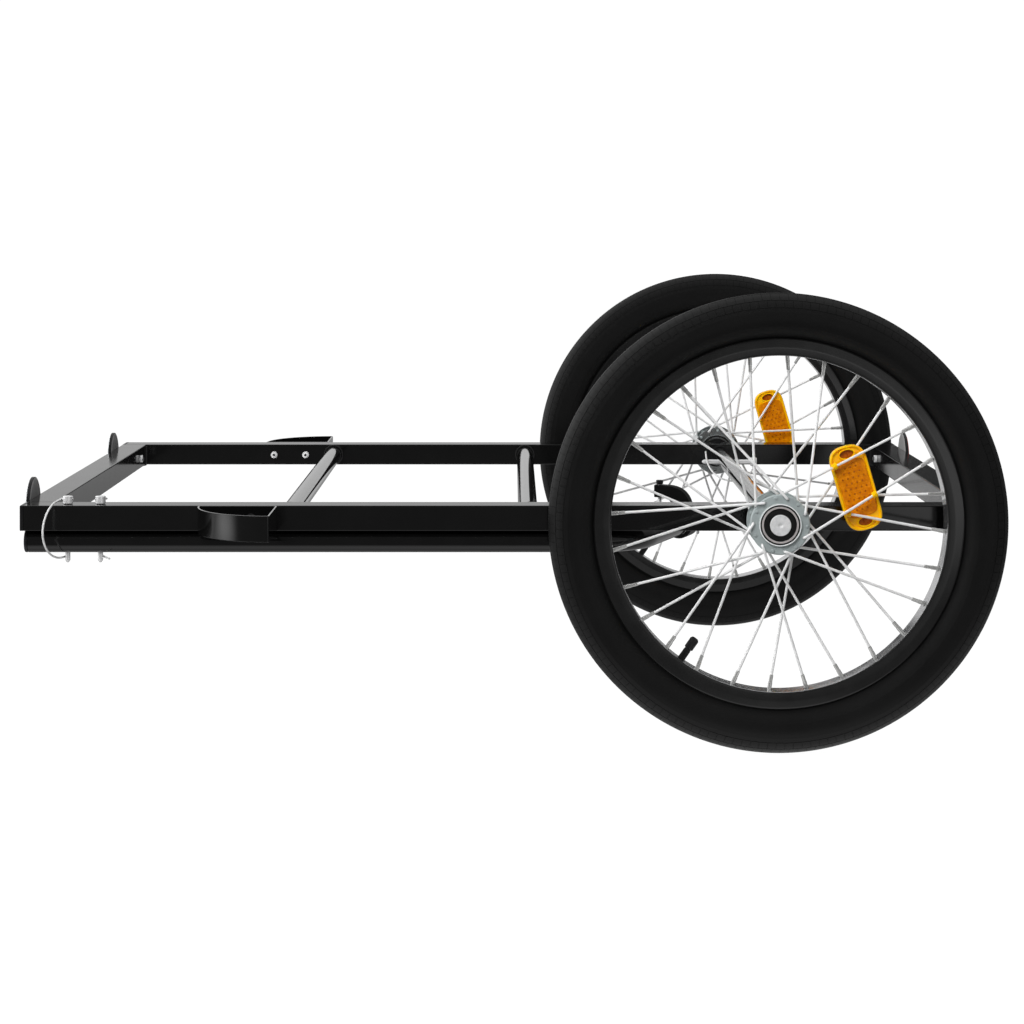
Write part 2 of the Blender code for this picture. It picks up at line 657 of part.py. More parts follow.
def build_end_reflectors():
    # A cup with a moulded stud and its nut, and a domed lens set in the cup
    radius = END_REFLECTOR_DIAMETER / 2
    cup = radius - END_REFLECTOR_WALL
    floor = END_REFLECTOR_WALL
    shank = STUD_DIAMETER / 2
    nut_from = -(MEMBER_WIDTH + 2 * GAP)
    nut_to = nut_from - NUT_THICKNESS
    shank_to = nut_to - STUD_PROUD
    lens_radius = cup - GAP
    lens_from = floor + GAP
    lens_top = lens_from + END_LENS_THICKNESS
    lens_edge = lens_top - END_LENS_RISE
    housing = [(0, floor), (cup, floor), (cup, END_REFLECTOR_DEPTH), (radius, END_REFLECTOR_DEPTH),
               (radius, 0), (shank, 0), (shank, shank_to), (0, shank_to)]
    lens = [(0, lens_from), (lens_radius, lens_from), (lens_radius, lens_edge),
            (lens_radius / 2, lens_top - END_LENS_RISE / 4), (0, lens_top)]
    for end_name, end, lens_material in (("front", -1, CLEAR_LENS), ("rear", 1, RED_LENS)):
        for side_name, side in (("left", -1), ("right", 1)):
            name = f"{end_name}_{side_name}_reflector"
            place = axis_matrix((end * (FRAME_LENGTH / 2 + GAP), side * END_REFLECTOR_Y, AXLE_HEIGHT),
                                X_AXIS * end)
            bm = bmesh.new()
            turned(bm, housing, END_REFLECTOR_SEGMENTS, closed=False)
            holder = add_object(name + "_housing", bm, BLACK_PLASTIC, place)
            add_nut(holder, nut_from, nut_to, name + "_nut")
            bm = bmesh.new()
            turned(bm, lens, END_REFLECTOR_SEGMENTS, closed=False)
            add_object(name + "_lens", bm, lens_material, place)


def drawbar_front_x():
    return FRAME_FRONT_X + DRAWBAR_FRONT_INSET


def leg_direction():
    return Vector((math.cos(DRAWBAR_BEND_ANGLE), math.sin(DRAWBAR_BEND_ANGLE), 0))


def leg_point(distance):
    # A point on the drawbar leg's axis, measured from where it would meet the straight run's axis
    corner = Vector((DRAWBAR_CORNER_X, -RAIL_CENTRE_Y, DRAWBAR_Z))
    return corner + leg_direction() * distance


def build_drawbar():
    setback = DRAWBAR_BEND_RADIUS * math.tan(DRAWBAR_BEND_ANGLE / 2)
    start_x = DRAWBAR_CORNER_X - setback
    centre_y = -RAIL_CENTRE_Y + DRAWBAR_BEND_RADIUS
    head_x = drawbar_front_x() + DRAWBAR_PLUG_HEAD + GAP
    points = [Vector((head_x, -RAIL_CENTRE_Y, DRAWBAR_Z))]
    for step in range(DRAWBAR_BEND_STEPS + 1):
        angle = DRAWBAR_BEND_ANGLE * step / DRAWBAR_BEND_STEPS
        points.append(Vector((start_x + DRAWBAR_BEND_RADIUS * math.sin(angle),
                              centre_y - DRAWBAR_BEND_RADIUS * math.cos(angle), DRAWBAR_Z)))
    points.append(leg_point(DRAWBAR_LEG_LENGTH))
    bm = bmesh.new()
    radius = DRAWBAR_DIAMETER / 2
    swept_tube(bm, points, radius, radius - DRAWBAR_WALL, DRAWBAR_SIDES)
    bar = add_object("drawbar_tube", bm, BLACK_POWDER_COAT)
    holes = bmesh.new()
    for x in (FRONT_DRAWBAR_PIN_X, REAR_DRAWBAR_PIN_X):
        cylinder(holes, LOCK_PIN_HOLE_DIAMETER / 2, -DRAWBAR_DIAMETER, DRAWBAR_DIAMETER, PIN_SIDES,
                 down(x, -RAIL_CENTRE_Y, DRAWBAR_Z))
    boolean(bar, holes, "DIFFERENCE", "drawbar_tube_holes")
    plug = bmesh.new()
    stem = radius - DRAWBAR_WALL - DRAWBAR_STEM_PLAY
    stem_end = DRAWBAR_PLUG_HEAD + DRAWBAR_PLUG_STEM
    edge = DRAWBAR_PLUG_HEAD / 3
    turned(plug, [(0, 0), (radius - edge, 0), (radius, edge), (radius, DRAWBAR_PLUG_HEAD),
                  (stem, DRAWBAR_PLUG_HEAD), (stem, stem_end), (0, stem_end)],
           DRAWBAR_SIDES, along_x(drawbar_front_x(), -RAIL_CENTRE_Y, DRAWBAR_Z), closed=False)
    add_object("drawbar_end_plug", plug, BLACK_PLASTIC)


def lock_pin_frame(hinge, pin_direction, bow_direction):
    # Local X points out to the bow, local Z along the pin to its tip, local Y is the bow's hinge axis
    z_axis = Vector(pin_direction).normalized()
    x_axis = Vector(bow_direction).normalized()
    y_axis = z_axis.cross(x_axis)
    return frame_matrix(Vector(hinge), x_axis, y_axis, z_axis)


def build_lock_pin(name, place):
    head_top = -(LOCK_PIN_HEAD_HEIGHT - LOCK_PIN_HINGE_HEIGHT)
    head_bottom = LOCK_PIN_HINGE_HEIGHT
    tip = head_bottom + LOCK_PIN_LENGTH
    radius = LOCK_PIN_DIAMETER / 2
    head = LOCK_PIN_HEAD_DIAMETER / 2
    to_pin = Matrix.Rotation(math.pi / 2, 4, "X")
    bm = bmesh.new()
    profile = cut_start(head, head_top, -1) + [(head, head_bottom), (radius, head_bottom)]
    profile += cut_end(radius, tip, 1)
    turned(bm, profile, PIN_SIDES, to_pin, closed=False)
    pin = add_object(name, bm, ZINC_PLATED, place)
    hole = bmesh.new()
    cylinder(hole, BOW_WIRE_DIAMETER / 2 + BOW_HOLE_PLAY, -2 * head, 2 * head, PIN_SIDES, Matrix.Identity(4))
    boolean(pin, hole, "DIFFERENCE", name + "_bow_hole")
    build_bow(name.replace("_lock_pin", "_pin_bow"), place)


def build_bow(name, place):
    # A half ellipse of spring wire from the head round to the tip, which it passes on one side
    inner_end = -(LOCK_PIN_HEAD_DIAMETER / 2)
    points = [Vector((0, inner_end, 0)), Vector((0, BOW_OFFSET_AT_HEAD, 0))]
    for step in range(BOW_ARC_STEPS + 1):
        share = step / BOW_ARC_STEPS
        angle = BOW_START_ANGLE + share * (math.pi - BOW_START_ANGLE)
        offset = BOW_OFFSET_AT_HEAD + share * (BOW_OFFSET_AT_TIP - BOW_OFFSET_AT_HEAD)
        points.append(Vector((BOW_REACH * math.sin(angle), offset,
                              BOW_HALF_HEIGHT * (1 - math.cos(angle)))))
    points.append(Vector((-BOW_HOOK, BOW_OFFSET_AT_TIP, 2 * BOW_HALF_HEIGHT)))
    bm = bmesh.new()
    swept(bm, points, [BOW_WIRE_DIAMETER / 2] * len(points), BOW_WIRE_SIDES)
    add_object(name, bm, ZINC_PLATED, place)


def build_lock_pins():
    hinge_z = RAIL_TOP + GAP + LOCK_PIN_HINGE_HEIGHT
    for name, x, side, turn in (("front_drawbar_lock_pin", FRONT_DRAWBAR_PIN_X, -1, FRONT_DRAWBAR_BOW_TURN),
                                ("rear_drawbar_lock_pin", REAR_DRAWBAR_PIN_X, 1, REAR_DRAWBAR_BOW_TURN)):
        bow = (-math.sin(turn), side * math.cos(turn), 0)
        place = lock_pin_frame((x, -RAIL_CENTRE_Y, hinge_z), (0, 0, -1), bow)
        build_lock_pin(name, place)
    for name, side in (("left", -1), ("right", 1)):
        y = side * (WHEEL_PLANE_Y - AXLE_PIN_FROM_PLANE)
        bow = (0, -side * math.cos(AXLE_BOW_DROP), -math.sin(AXLE_BOW_DROP))
        hinge = (AXLE_X + AXLE_PIN_HEAD_FROM_AXLE + LOCK_PIN_HINGE_HEIGHT, y, AXLE_HEIGHT)
        build_lock_pin(name + "_axle_lock_pin", lock_pin_frame(hinge, (-1, 0, 0), bow))


def hitch_frame(distance):
    # Local Y runs along the leg, local X away from the claw's open side, local Z up
    direction = leg_direction()
    return frame_matrix(leg_point(distance), direction.cross(Z_AXIS), direction, Z_AXIS)


def claw_outline():
    # The jaws open towards -X. Half an ellipse backs the mouth, and a fuller quarter curve arches over it.
    jaw = CLAW_JAW_END
    floor = CLAW_LOWER_JAW_TOP
    under = CLAW_UPPER_JAW_BOTTOM
    top = CLAW_UPPER_JAW_TOP
    points = [(-jaw, CLAW_LOWER_JAW_BOTTOM), (-jaw, floor)]
    for step in range(CLAW_ARC_STEPS + 1):
        angle = math.pi * (step / CLAW_ARC_STEPS - 0.5)
        points.append((CLAW_MOUTH_BACK_FROM + CLAW_MOUTH_BACK_DEPTH * math.cos(angle),
                       (floor + under + (under - floor) * math.sin(angle)) / 2))
    points += [(-jaw, under), (-jaw, top + CLAW_JAW_TIP_RISE)]
    for step in range(CLAW_ARC_STEPS + 1):
        angle = math.pi / 2 * (1 - step / CLAW_ARC_STEPS)
        forward = max(math.cos(angle), 0.0) ** (2 / CLAW_ARCH_POWER)
        upward = math.sin(angle) ** (2 / CLAW_ARCH_POWER)
        points.append((CLAW_ARCH_FROM + (CLAW_ARCH_REACH - CLAW_ARCH_FROM) * forward,
                       CLAW_ARCH_FOOT + (top - CLAW_ARCH_FOOT) * upward))
    inside_collar = CLAW_COLLAR_RADIUS / 2
    points += [(inside_collar, 0), (-inside_collar, -inside_collar)]
    return points


def build_hitch():
    leg_end = DRAWBAR_LEG_LENGTH
    shaft = HITCH_SHAFT_DIAMETER / 2
    bore = shaft + GAP
    bush_head_to = leg_end + GAP + HITCH_BUSH_HEAD
    claw_from = bush_head_to + GAP
    claw_to = claw_from + HITCH_CLAW_THICKNESS
    sleeve_from = claw_to + GAP
    sleeve_to = sleeve_from + HITCH_SLEEVE_LENGTH
    cross_at = sleeve_to + GAP + HITCH_CROSS_PIN_DIAMETER / 2

    base = hitch_frame(0)
    radius = DRAWBAR_DIAMETER / 2
    stem = radius - DRAWBAR_WALL - DRAWBAR_STEM_PLAY
    bm = bmesh.new()
    turned(bm, [(bore, leg_end - HITCH_BUSH_STEM), (stem, leg_end - HITCH_BUSH_STEM), (stem, leg_end + GAP),
                (radius, leg_end + GAP), (radius, bush_head_to), (bore, bush_head_to)], DRAWBAR_SIDES, base)
    add_object("hitch_end_bush", bm, ZINC_PLATED)

    bm = bmesh.new()
    shaft_from = leg_end - HITCH_SHAFT_INSIDE
    shaft_to = leg_end + HITCH_SHAFT_END
    turned(bm, [(0, shaft_from), (shaft, shaft_from)] + cut_end(shaft, shaft_to, 1), DRAWBAR_SIDES, base,
           closed=False)
    rod = add_object("hitch_swivel_shaft", bm, ZINC_PLATED)
    hole = bmesh.new()
    cross_place = axis_matrix(leg_point(cross_at), Z_AXIS)
    cylinder(hole, HITCH_CROSS_PIN_DIAMETER / 2 + GAP, -2 * shaft, 2 * shaft, PIN_SIDES, cross_place)
    boolean(rod, hole, "DIFFERENCE", "hitch_swivel_shaft_hole")

    bm = bmesh.new()
    rim = HITCH_SLEEVE_DIAMETER / 2
    turned(bm, [(bore, sleeve_from), (rim, sleeve_from), (rim, sleeve_from + HITCH_SLEEVE_BAND),
                (HITCH_SLEEVE_WAIST / 2, (sleeve_from + sleeve_to) / 2), (rim, sleeve_to - HITCH_SLEEVE_BAND),
                (rim, sleeve_to), (bore, sleeve_to)], DRAWBAR_SIDES, base)
    add_object("hitch_rubber_sleeve", bm, BLACK_RUBBER)

    bm = bmesh.new()
    pin = HITCH_CROSS_PIN_DIAMETER / 2
    head = HITCH_CROSS_PIN_HEAD / 2
    head_from = HITCH_CROSS_PIN_ABOVE - head
    profile = cut_start(pin, -HITCH_CROSS_PIN_BELOW, -1) + [(pin, head_from), (head, head_from)]
    profile += cut_end(head, HITCH_CROSS_PIN_ABOVE, 1)
    turned(bm, profile, PIN_SIDES, cross_place, closed=False)
    add_object("hitch_cross_pin", bm, ZINC_PLATED)

    place = hitch_frame(claw_from)
    bm = bmesh.new()
    cylinder(bm, CLAW_COLLAR_RADIUS, 0, HITCH_CLAW_THICKNESS, TUBE_SIDES, Matrix.Identity(4))
    claw = add_object("hitch_claw", bm, BLACK_POWDER_COAT, place)
    jaw = bmesh.new()
    middle = HITCH_CLAW_THICKNESS / 2
    prism(jaw, claw_outline(), middle - CLAW_JAW_THICKNESS / 2, middle + CLAW_JAW_THICKNESS / 2)
    boolean(claw, jaw, "UNION", "hitch_claw_jaws")
    holes = bmesh.new()
    cylinder(holes, bore, -HITCH_CLAW_THICKNESS, 2 * HITCH_CLAW_THICKNESS, DRAWBAR_SIDES, Matrix.Identity(4))
    pin_place = axis_matrix((-CLAW_PIN_DISTANCE, middle, 0), Z_AXIS)
    cylinder(holes, CLAW_PIN_HOLE_DIAMETER / 2, 2 * CLAW_LOWER_JAW_BOTTOM, 2 * CLAW_UPPER_JAW_TOP, PIN_SIDES,
             pin_place)
    boolean(claw, holes, "DIFFERENCE", "hitch_claw_holes")

    bm = bmesh.new()
    pin = CLAW_PIN_DIAMETER / 2
    knob = CLAW_KNOB_DIAMETER / 2
    knob_from = CLAW_UPPER_JAW_TOP + CLAW_JAW_TIP_RISE + GAP
    profile = cut_start(pin, CLAW_PIN_TIP, -1) + [(pin, knob_from), (knob, knob_from)]
    profile += cut_end(knob, knob_from + CLAW_KNOB_HEIGHT, 1)
    turned(bm, profile, PIN_SIDES, closed=False)
    upright = place @ pin_place
    add_object("hitch_lock_pin", bm, ZINC_PLATED, upright)


def wheel_point(radius, angle, across, side):
    # A point in the wheel's own frame: angle in the XZ plane, across outwards from the wheel plane
    return Vector((radius * math.cos(angle), side * across, radius * math.sin(angle)))


def turned_wheel(bm, profile, segments, side, closed=True):
    # Profiles give radius and the distance outwards from the wheel plane
    turned(bm, [(radius, across * side) for radius, across in profile], segments, closed=closed)


def mirrored_profile(half):
    # The half runs from the outer side inwards; a point on the wheel plane is not repeated
    return half + [(radius, -across) for radius, across in reversed(half) if across > 0]


def tyre_cavity(inset):
    # Half the section inside the tyre, drawn in by the inset
    seat = RIM_OUTER_DIAMETER / 2
    bead = RIM_WIDTH / 2 - RIM_WALL - GAP - TYRE_BEAD_WIDTH - inset
    foot = RIM_BED_RADIUS + RIM_BED_THICKNESS + TYRE_FOOT_RISE
    crown = TYRE_DIAMETER / 2 - TYRE_TREAD
    belly = (seat + crown) / 2
    return [(foot, bead), (seat + TYRE_SIDEWALL, bead), (belly, TYRE_WIDTH / 2 - TYRE_SIDEWALL - inset),
            (crown - inset, 0.0)]


def build_tyre(name, side, hub):
    outer = TYRE_DIAMETER / 2
    wide = TYRE_WIDTH / 2
    seat = RIM_OUTER_DIAMETER / 2
    bead = RIM_WIDTH / 2 - RIM_WALL - GAP
    tall = outer - seat
    cavity = tyre_cavity(0.0)
    skin = [(cavity[0][0], bead), (seat + GAP, bead), (seat + tall / 4, wide * TYRE_FOOT_SHARE),
            (seat + tall / 2, wide), (outer - TYRE_SHOULDER_DROP, wide * TYRE_SHOULDER_SHARE), (outer, 0.0)]
    inside = [(radius, -across) for radius, across in mirrored_profile(cavity)]
    bm = bmesh.new()
    turned_wheel(bm, mirrored_profile(skin) + inside, WHEEL_SEGMENTS, side)
    add_object(name + "_tyre", bm, TYRE_RUBBER, parent=hub)


def build_inner_tube(name, side, hub):
    # Soft enough not to press on the tyre, with its rubber valve stem
    bm = bmesh.new()
    turned_wheel(bm, mirrored_profile(tyre_cavity(INNER_TUBE_PLAY)), WHEEL_SEGMENTS, side)
    tube = add_object(name + "_inner_tube", bm, BLACK_RUBBER, parent=hub)
    stem = VALVE_STEM_DIAMETER / 2
    cap = VALVE_CAP_DIAMETER / 2
    cap_to = VALVE_TIP_RADIUS + VALVE_CAP_LENGTH
    stem_root = RIM_OUTER_DIAMETER / 2 + TYRE_SIDEWALL
    valve = bmesh.new()
    profile = cut_start(cap, VALVE_TIP_RADIUS, -1)
    profile += [(cap, cap_to), (stem, cap_to), (stem, stem_root), (0, stem_root)]
    turned(valve, profile, PIN_SIDES, valve_frame(side), closed=False)
    boolean(tube, valve, "UNION", name + "_valve_guide")


def valve_frame(side):
    direction = wheel_point(1.0, VALVE_ANGLE, 0.0, side)
    return frame_matrix(Vector((0, 0, 0)), Y_AXIS.cross(direction), direction, Y_AXIS * -1)


def build_rim(name, side, hub, lines):
    wide = RIM_WIDTH / 2
    outer = RIM_OUTER_DIAMETER / 2
    bed = RIM_BED_RADIUS
    channel = bed + RIM_BED_THICKNESS
    half = [(bed, wide * RIM_FLAT_SHARE), (bed + RIM_SHOULDER, wide), (outer, wide), (outer, wide - RIM_WALL),
            (channel + RIM_SHOULDER, wide - RIM_WALL), (channel, wide * RIM_CHANNEL_SHARE)]
    bm = bmesh.new()
    turned_wheel(bm, mirrored_profile(half), WHEEL_SEGMENTS, side)
    rim = add_object(name + "_rim", bm, BLACK_RIM, parent=hub)
    holes = bmesh.new()
    clear = (NIPPLE_SIZE / 2 * math.sqrt(2) + GAP) / math.cos(math.pi / PIN_SIDES)
    for line in lines:
        cylinder(holes, clear, -RIM_BED_THICKNESS, RIM_BED_THICKNESS, PIN_SIDES,
                 axis_matrix(line["seat"], line["run"]))
    cylinder(holes, VALVE_STEM_DIAMETER / 2 + 2 * GAP, bed - RIM_BED_THICKNESS, channel + RIM_BED_THICKNESS,
             PIN_SIDES, valve_frame(side))
    boolean(rim, holes, "DIFFERENCE", name + "_rim_holes")


def build_hub(name, side, hub):
    flange = HUB_FLANGE_DIAMETER / 2
    boss = HUB_BOSS_DIAMETER / 2
    barrel = HUB_BARREL_DIAMETER / 2
    waist = barrel - HUB_BARREL_WALL
    face = HUB_FLANGE_OUTER_FACE
    back = face - HUB_FLANGE_THICKNESS
    seat = BEARING_SEAT_RADIUS
    seat_floor = HUB_HALF_LENGTH - BEARING_WIDTH - 2 * GAP
    half = [(boss, HUB_HALF_LENGTH), (boss, face), (flange, face), (flange, back), (barrel, back)]
    inside = [(seat, -HUB_HALF_LENGTH), (seat, -seat_floor), (waist, -seat_floor),
              (waist, seat_floor), (seat, seat_floor), (seat, HUB_HALF_LENGTH)]
    bm = bmesh.new()
    turned_wheel(bm, mirrored_profile(half) + inside, HUB_SEGMENTS, side)
    shell = add_object(name + "_hub_shell", bm, HUB_STEEL, parent=hub)
    holes = bmesh.new()
    corner = SPOKE_DIAMETER / 2 + GAP * math.sqrt(2)
    middle = face - HUB_FLANGE_THICKNESS / 2
    for flange_side, first in ((1, OUTER_FLANGE_FIRST_HOLE), (-1, INNER_FLANGE_FIRST_HOLE)):
        for k in range(SPOKES_PER_FLANGE):
            angle = first + math.tau * k / SPOKES_PER_FLANGE
            centre = wheel_point(SPOKE_HOLE_CIRCLE_RADIUS, angle, flange_side * middle, side)
            cylinder(holes, corner, -HUB_FLANGE_THICKNESS, HUB_FLANGE_THICKNESS, SPOKE_SIDES,
                     axis_matrix(centre, Y_AXIS))
    boolean(shell, holes, "DIFFERENCE", name + "_hub_shell_holes")

    bore = BEARING_BORE_RADIUS
    rim = BEARING_OUTER_DIAMETER / 2
    near = HUB_HALF_LENGTH - GAP - BEARING_WIDTH
    far = HUB_HALF_LENGTH - GAP
    bm = bmesh.new()
    turned_wheel(bm, mirrored_profile([(bore, far), (rim, far), (rim, near), (bore + SPACER_WALL, near)]),
                 HUB_SEGMENTS, side)
    add_object(name + "_hub_bearings", bm, BEARING_STEEL, parent=hub)


def build_spokes(name, side, hub, lines):
    # The spokes and their nipples hang on the rim tape, which lies over the nipple heads in the rim
    head_from = RIM_BED_THICKNESS / 2 + GAP + NIPPLE_HEAD_RISE
    head_to = head_from + NIPPLE_HEAD_THICKNESS
    tape_from = RIM_BED_RADIUS + RIM_BED_THICKNESS / 2 + head_to - RIM_TAPE_THICKNESS / 2
    tape_to = tape_from + RIM_TAPE_THICKNESS
    half_tape = RIM_TAPE_WIDTH / 2
    bm = bmesh.new()
    turned_wheel(bm, [(tape_from, -half_tape), (tape_from, half_tape), (tape_to, half_tape),
                      (tape_to, -half_tape)], WHEEL_SEGMENTS, side)
    tape = add_object(name + "_spokes_and_nipples", bm, SPOKE_STEEL, parent=hub)
    hole = bmesh.new()
    cylinder(hole, VALVE_STEM_DIAMETER / 2 + 2 * GAP, RIM_BED_RADIUS, RIM_OUTER_DIAMETER / 2, PIN_SIDES,
             valve_frame(side))
    boolean(tape, hole, "DIFFERENCE", name + "_rim_tape_hole")
    wires = bmesh.new()
    wire = SPOKE_DIAMETER / 2
    spoke_head = SPOKE_HEAD_DIAMETER / 2
    body = NIPPLE_SIZE / 2 * math.sqrt(2)
    head = NIPPLE_HEAD_SIZE / 2 * math.sqrt(2)
    step = NIPPLE_EDGE
    for line in lines:
        neck = line["head"].lerp(line["elbow"], SPOKE_HEAD_TAPER)
        stations = ((head_from - NIPPLE_BODY_LENGTH, wire), (head_from - NIPPLE_BODY_LENGTH + step, body),
                    (head_from, body), (head_from + step, head), (head_to, head))
        points = [line["head_end"], neck, line["elbow"]]
        points += [line["seat"] + line["run"] * along for along, radius in stations]
        swept(wires, points, [spoke_head, wire, wire] + [radius for along, radius in stations], SPOKE_SIDES)
    boolean(tape, wires, "UNION", name + "_spokes_guide")


def build_stub_axle(name, side, hub):
    # Cap outside the hub, collar between hub and rail, shaft through to the lock pin
    shaft = STUB_AXLE_DIAMETER / 2
    cap = AXLE_CAP_DIAMETER / 2
    collar = AXLE_COLLAR_DIAMETER / 2
    cap_from = HUB_HALF_LENGTH + GAP
    cap_to = cap_from + AXLE_CAP_THICKNESS
    collar_from = -(HUB_HALF_LENGTH + GAP)
    collar_to = -(WHEEL_PLANE_FROM_RAIL - GAP)
    end = -STUB_AXLE_END_FROM_PLANE
    edge = AXLE_CAP_THICKNESS / 3
    bm = bmesh.new()
    turned_wheel(bm, [(0, cap_to - edge), (edge, cap_to), (cap - edge, cap_to), (cap, cap_to - edge),
                      (cap, cap_from), (shaft, cap_from), (shaft, collar_from), (collar, collar_from),
                      (collar, collar_to), (shaft, collar_to), (shaft, end), (0, end)], HUB_SEGMENTS, side,
                 closed=False)
    axle = add_object(name + "_stub_axle", bm, ZINC_PLATED, parent=hub)
    hole = bmesh.new()
    cylinder(hole, LOCK_PIN_HOLE_DIAMETER / 2, -2 * shaft, 2 * shaft, PIN_SIDES,
             along_x(0, -side * AXLE_PIN_FROM_PLANE, 0))
    boolean(axle, hole, "DIFFERENCE", name + "_stub_axle_hole")


def run_rise(level, turn):
    # How far a spoke sinks towards the wheel plane on its way over the flange's edge
    start = Vector((SPOKE_HOLE_CIRCLE_RADIUS, 0))
    seat_radius = RIM_BED_RADIUS + RIM_BED_THICKNESS / 2
    run = Vector((seat_radius * math.cos(turn), seat_radius * math.sin(turn))) - start
    ahead = start.dot(run.normalized())
    edge = HUB_FLANGE_DIAMETER / 2 + SPOKE_DIAMETER
    over = math.sqrt(ahead ** 2 + edge ** 2 - start.length_squared) - ahead
    return over * (level - NIPPLE_OFFSET_FROM_CENTRE) / run.length


def spoke_lines(side):
    # For each spoke: its head and elbow at the flange, its seat in the rim and the way it runs.
    # Beside the reflector two spokes swap rim holes, so that it lies behind both spokes it is clipped to.
    lines = []
    seat_radius = RIM_BED_RADIUS + RIM_BED_THICKNESS / 2
    spacing = math.tau / SPOKES_PER_FLANGE
    outside = HUB_FLANGE_OUTER_FACE + GAP
    inside = HUB_FLANGE_OUTER_FACE - HUB_FLANGE_THICKNESS - GAP
    wire = SPOKE_DIAMETER / 2
    hole = SPOKE_HOLE_CIRCLE_RADIUS
    for flange_side, first in ((1, OUTER_FLANGE_FIRST_HOLE), (-1, INNER_FLANGE_FIRST_HOLE)):
        for k in range(SPOKES_PER_FLANGE):
            angle = first + spacing * k
            crossed = SPOKE_CROSS_HOLES + (0.5 if (flange_side, k) in SWAPPED_SPOKES else 0)
            if k % 2 == 0:
                turn = spacing * crossed * flange_side
                head_face, head_end = inside, inside - SPOKE_HEAD_THICKNESS
                run_level = outside + wire + run_rise(outside + wire, turn)
            else:
                turn = -spacing * crossed * flange_side
                head_face, head_end = outside, outside + SPOKE_HEAD_THICKNESS
                run_level = inside - wire
            elbow = wheel_point(hole, angle, flange_side * run_level, side)
            seat = wheel_point(seat_radius, angle + turn, flange_side * NIPPLE_OFFSET_FROM_CENTRE, side)
            lines.append({"head_end": wheel_point(hole, angle, flange_side * head_end, side),
                          "head": wheel_point(hole, angle, flange_side * head_face, side),
                          "elbow": elbow,
                          "seat": seat,
                          "run": (seat - elbow).normalized(),
                          "clip_arm": (1 if k % 2 == 0 else -1) if flange_side > 0 else 0})
    return lines


def stadium(length, width):
    points = []
    centre = (length - width) / 2
    radius = width / 2
    for end, first in ((1, 0), (-1, 180)):
        for step in range(SPOKE_REFLECTOR_ARC_STEPS + 1):
            angle = math.radians(first + 180 * step / SPOKE_REFLECTOR_ARC_STEPS)
            points.append((radius * math.cos(angle), end * centre + radius * math.sin(angle)))
    return points


def build_spoke_reflector(name, side, hub, lines):
    centre = wheel_point(SPOKE_REFLECTOR_RADIUS, SPOKE_REFLECTOR_ANGLE, 0, side)
    long_axis = Vector((-math.sin(SPOKE_REFLECTOR_TILT), 0, math.cos(SPOKE_REFLECTOR_TILT))) * side
    outward = Y_AXIS * side
    place = frame_matrix(centre, outward.cross(long_axis), outward, long_axis)
    half = SPOKE_REFLECTOR_THICKNESS / 2
    outer = stadium(SPOKE_REFLECTOR_LENGTH, SPOKE_REFLECTOR_WIDTH)
    window = stadium(SPOKE_LENS_LENGTH + 2 * GAP, SPOKE_LENS_WIDTH + 2 * GAP)
    bm = bmesh.new()
    band(bm, outer, window, -half, half, place)
    body = add_object(name + "_spoke_reflector_body", bm, AMBER_PLASTIC, parent=hub)
    clips = bmesh.new()
    edge = SPOKE_CLIP_SIZE / 2
    for spot, height in clip_spots(lines, place.inverted()):
        pad = [(spot.x - edge, spot.z - edge), (spot.x + edge, spot.z - edge),
               (spot.x + edge, spot.z + edge), (spot.x - edge, spot.z + edge)]
        prism(clips, pad, 0, height, place)
    boolean(body, clips, "UNION", name + "_spoke_reflector_clips")
    bm = bmesh.new()
    prism(bm, stadium(SPOKE_LENS_LENGTH, SPOKE_LENS_WIDTH), -half, half, place)
    add_object(name + "_spoke_reflector_lens", bm, AMBER_LENS, parent=hub)


def clip_spots(lines, inverse):
    # Where spokes of the outer flange pass over the reflector's long sides, and how far off they pass
    spots = []
    arm = (SPOKE_LENS_WIDTH + SPOKE_REFLECTOR_WIDTH) / 4
    for line in lines:
        low = inverse @ line["elbow"]
        run = inverse @ line["seat"] - low
        share = (arm * line["clip_arm"] - low.x) / run.x
        spot = low + run * share
        if line["clip_arm"] != 0 and 0 < share < 1 and abs(spot.z) < SPOKE_LENS_LENGTH / 2:
            slope = abs(run.y) / math.hypot(run.x, run.z)
            spots.append((spot, spot.y - SPOKE_DIAMETER / 2 - GAP - slope * CLIP_SLOPE_REACH))
    return spots


def build_wheels():
    for name, side in (("left", -1), ("right", 1)):
        hub = add_empty(name + "_wheel_axis", (AXLE_X, side * WHEEL_PLANE_Y, AXLE_HEIGHT))
        lines = spoke_lines(side)
        build_tyre(name, side, hub)
        build_inner_tube(name, side, hub)
        build_rim(name, side, hub, lines)
        build_hub(name, side, hub)
        build_spokes(name, side, hub, lines)
        build_stub_axle(name, side, hub)
        build_spoke_reflector(name, side, hub, lines)


build_side_rails()
build_rail_end_plugs()
build_crossmembers()
build_cross_tubes()
build_axle_tube()
build_strap_loops()
build_strap_loop_bolts()
build_end_reflectors()
build_drawbar()
build_lock_pins()
build_hitch()
build_wheels()
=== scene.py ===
import math

import bmesh
import bpy
from mathutils import Matrix, Vector


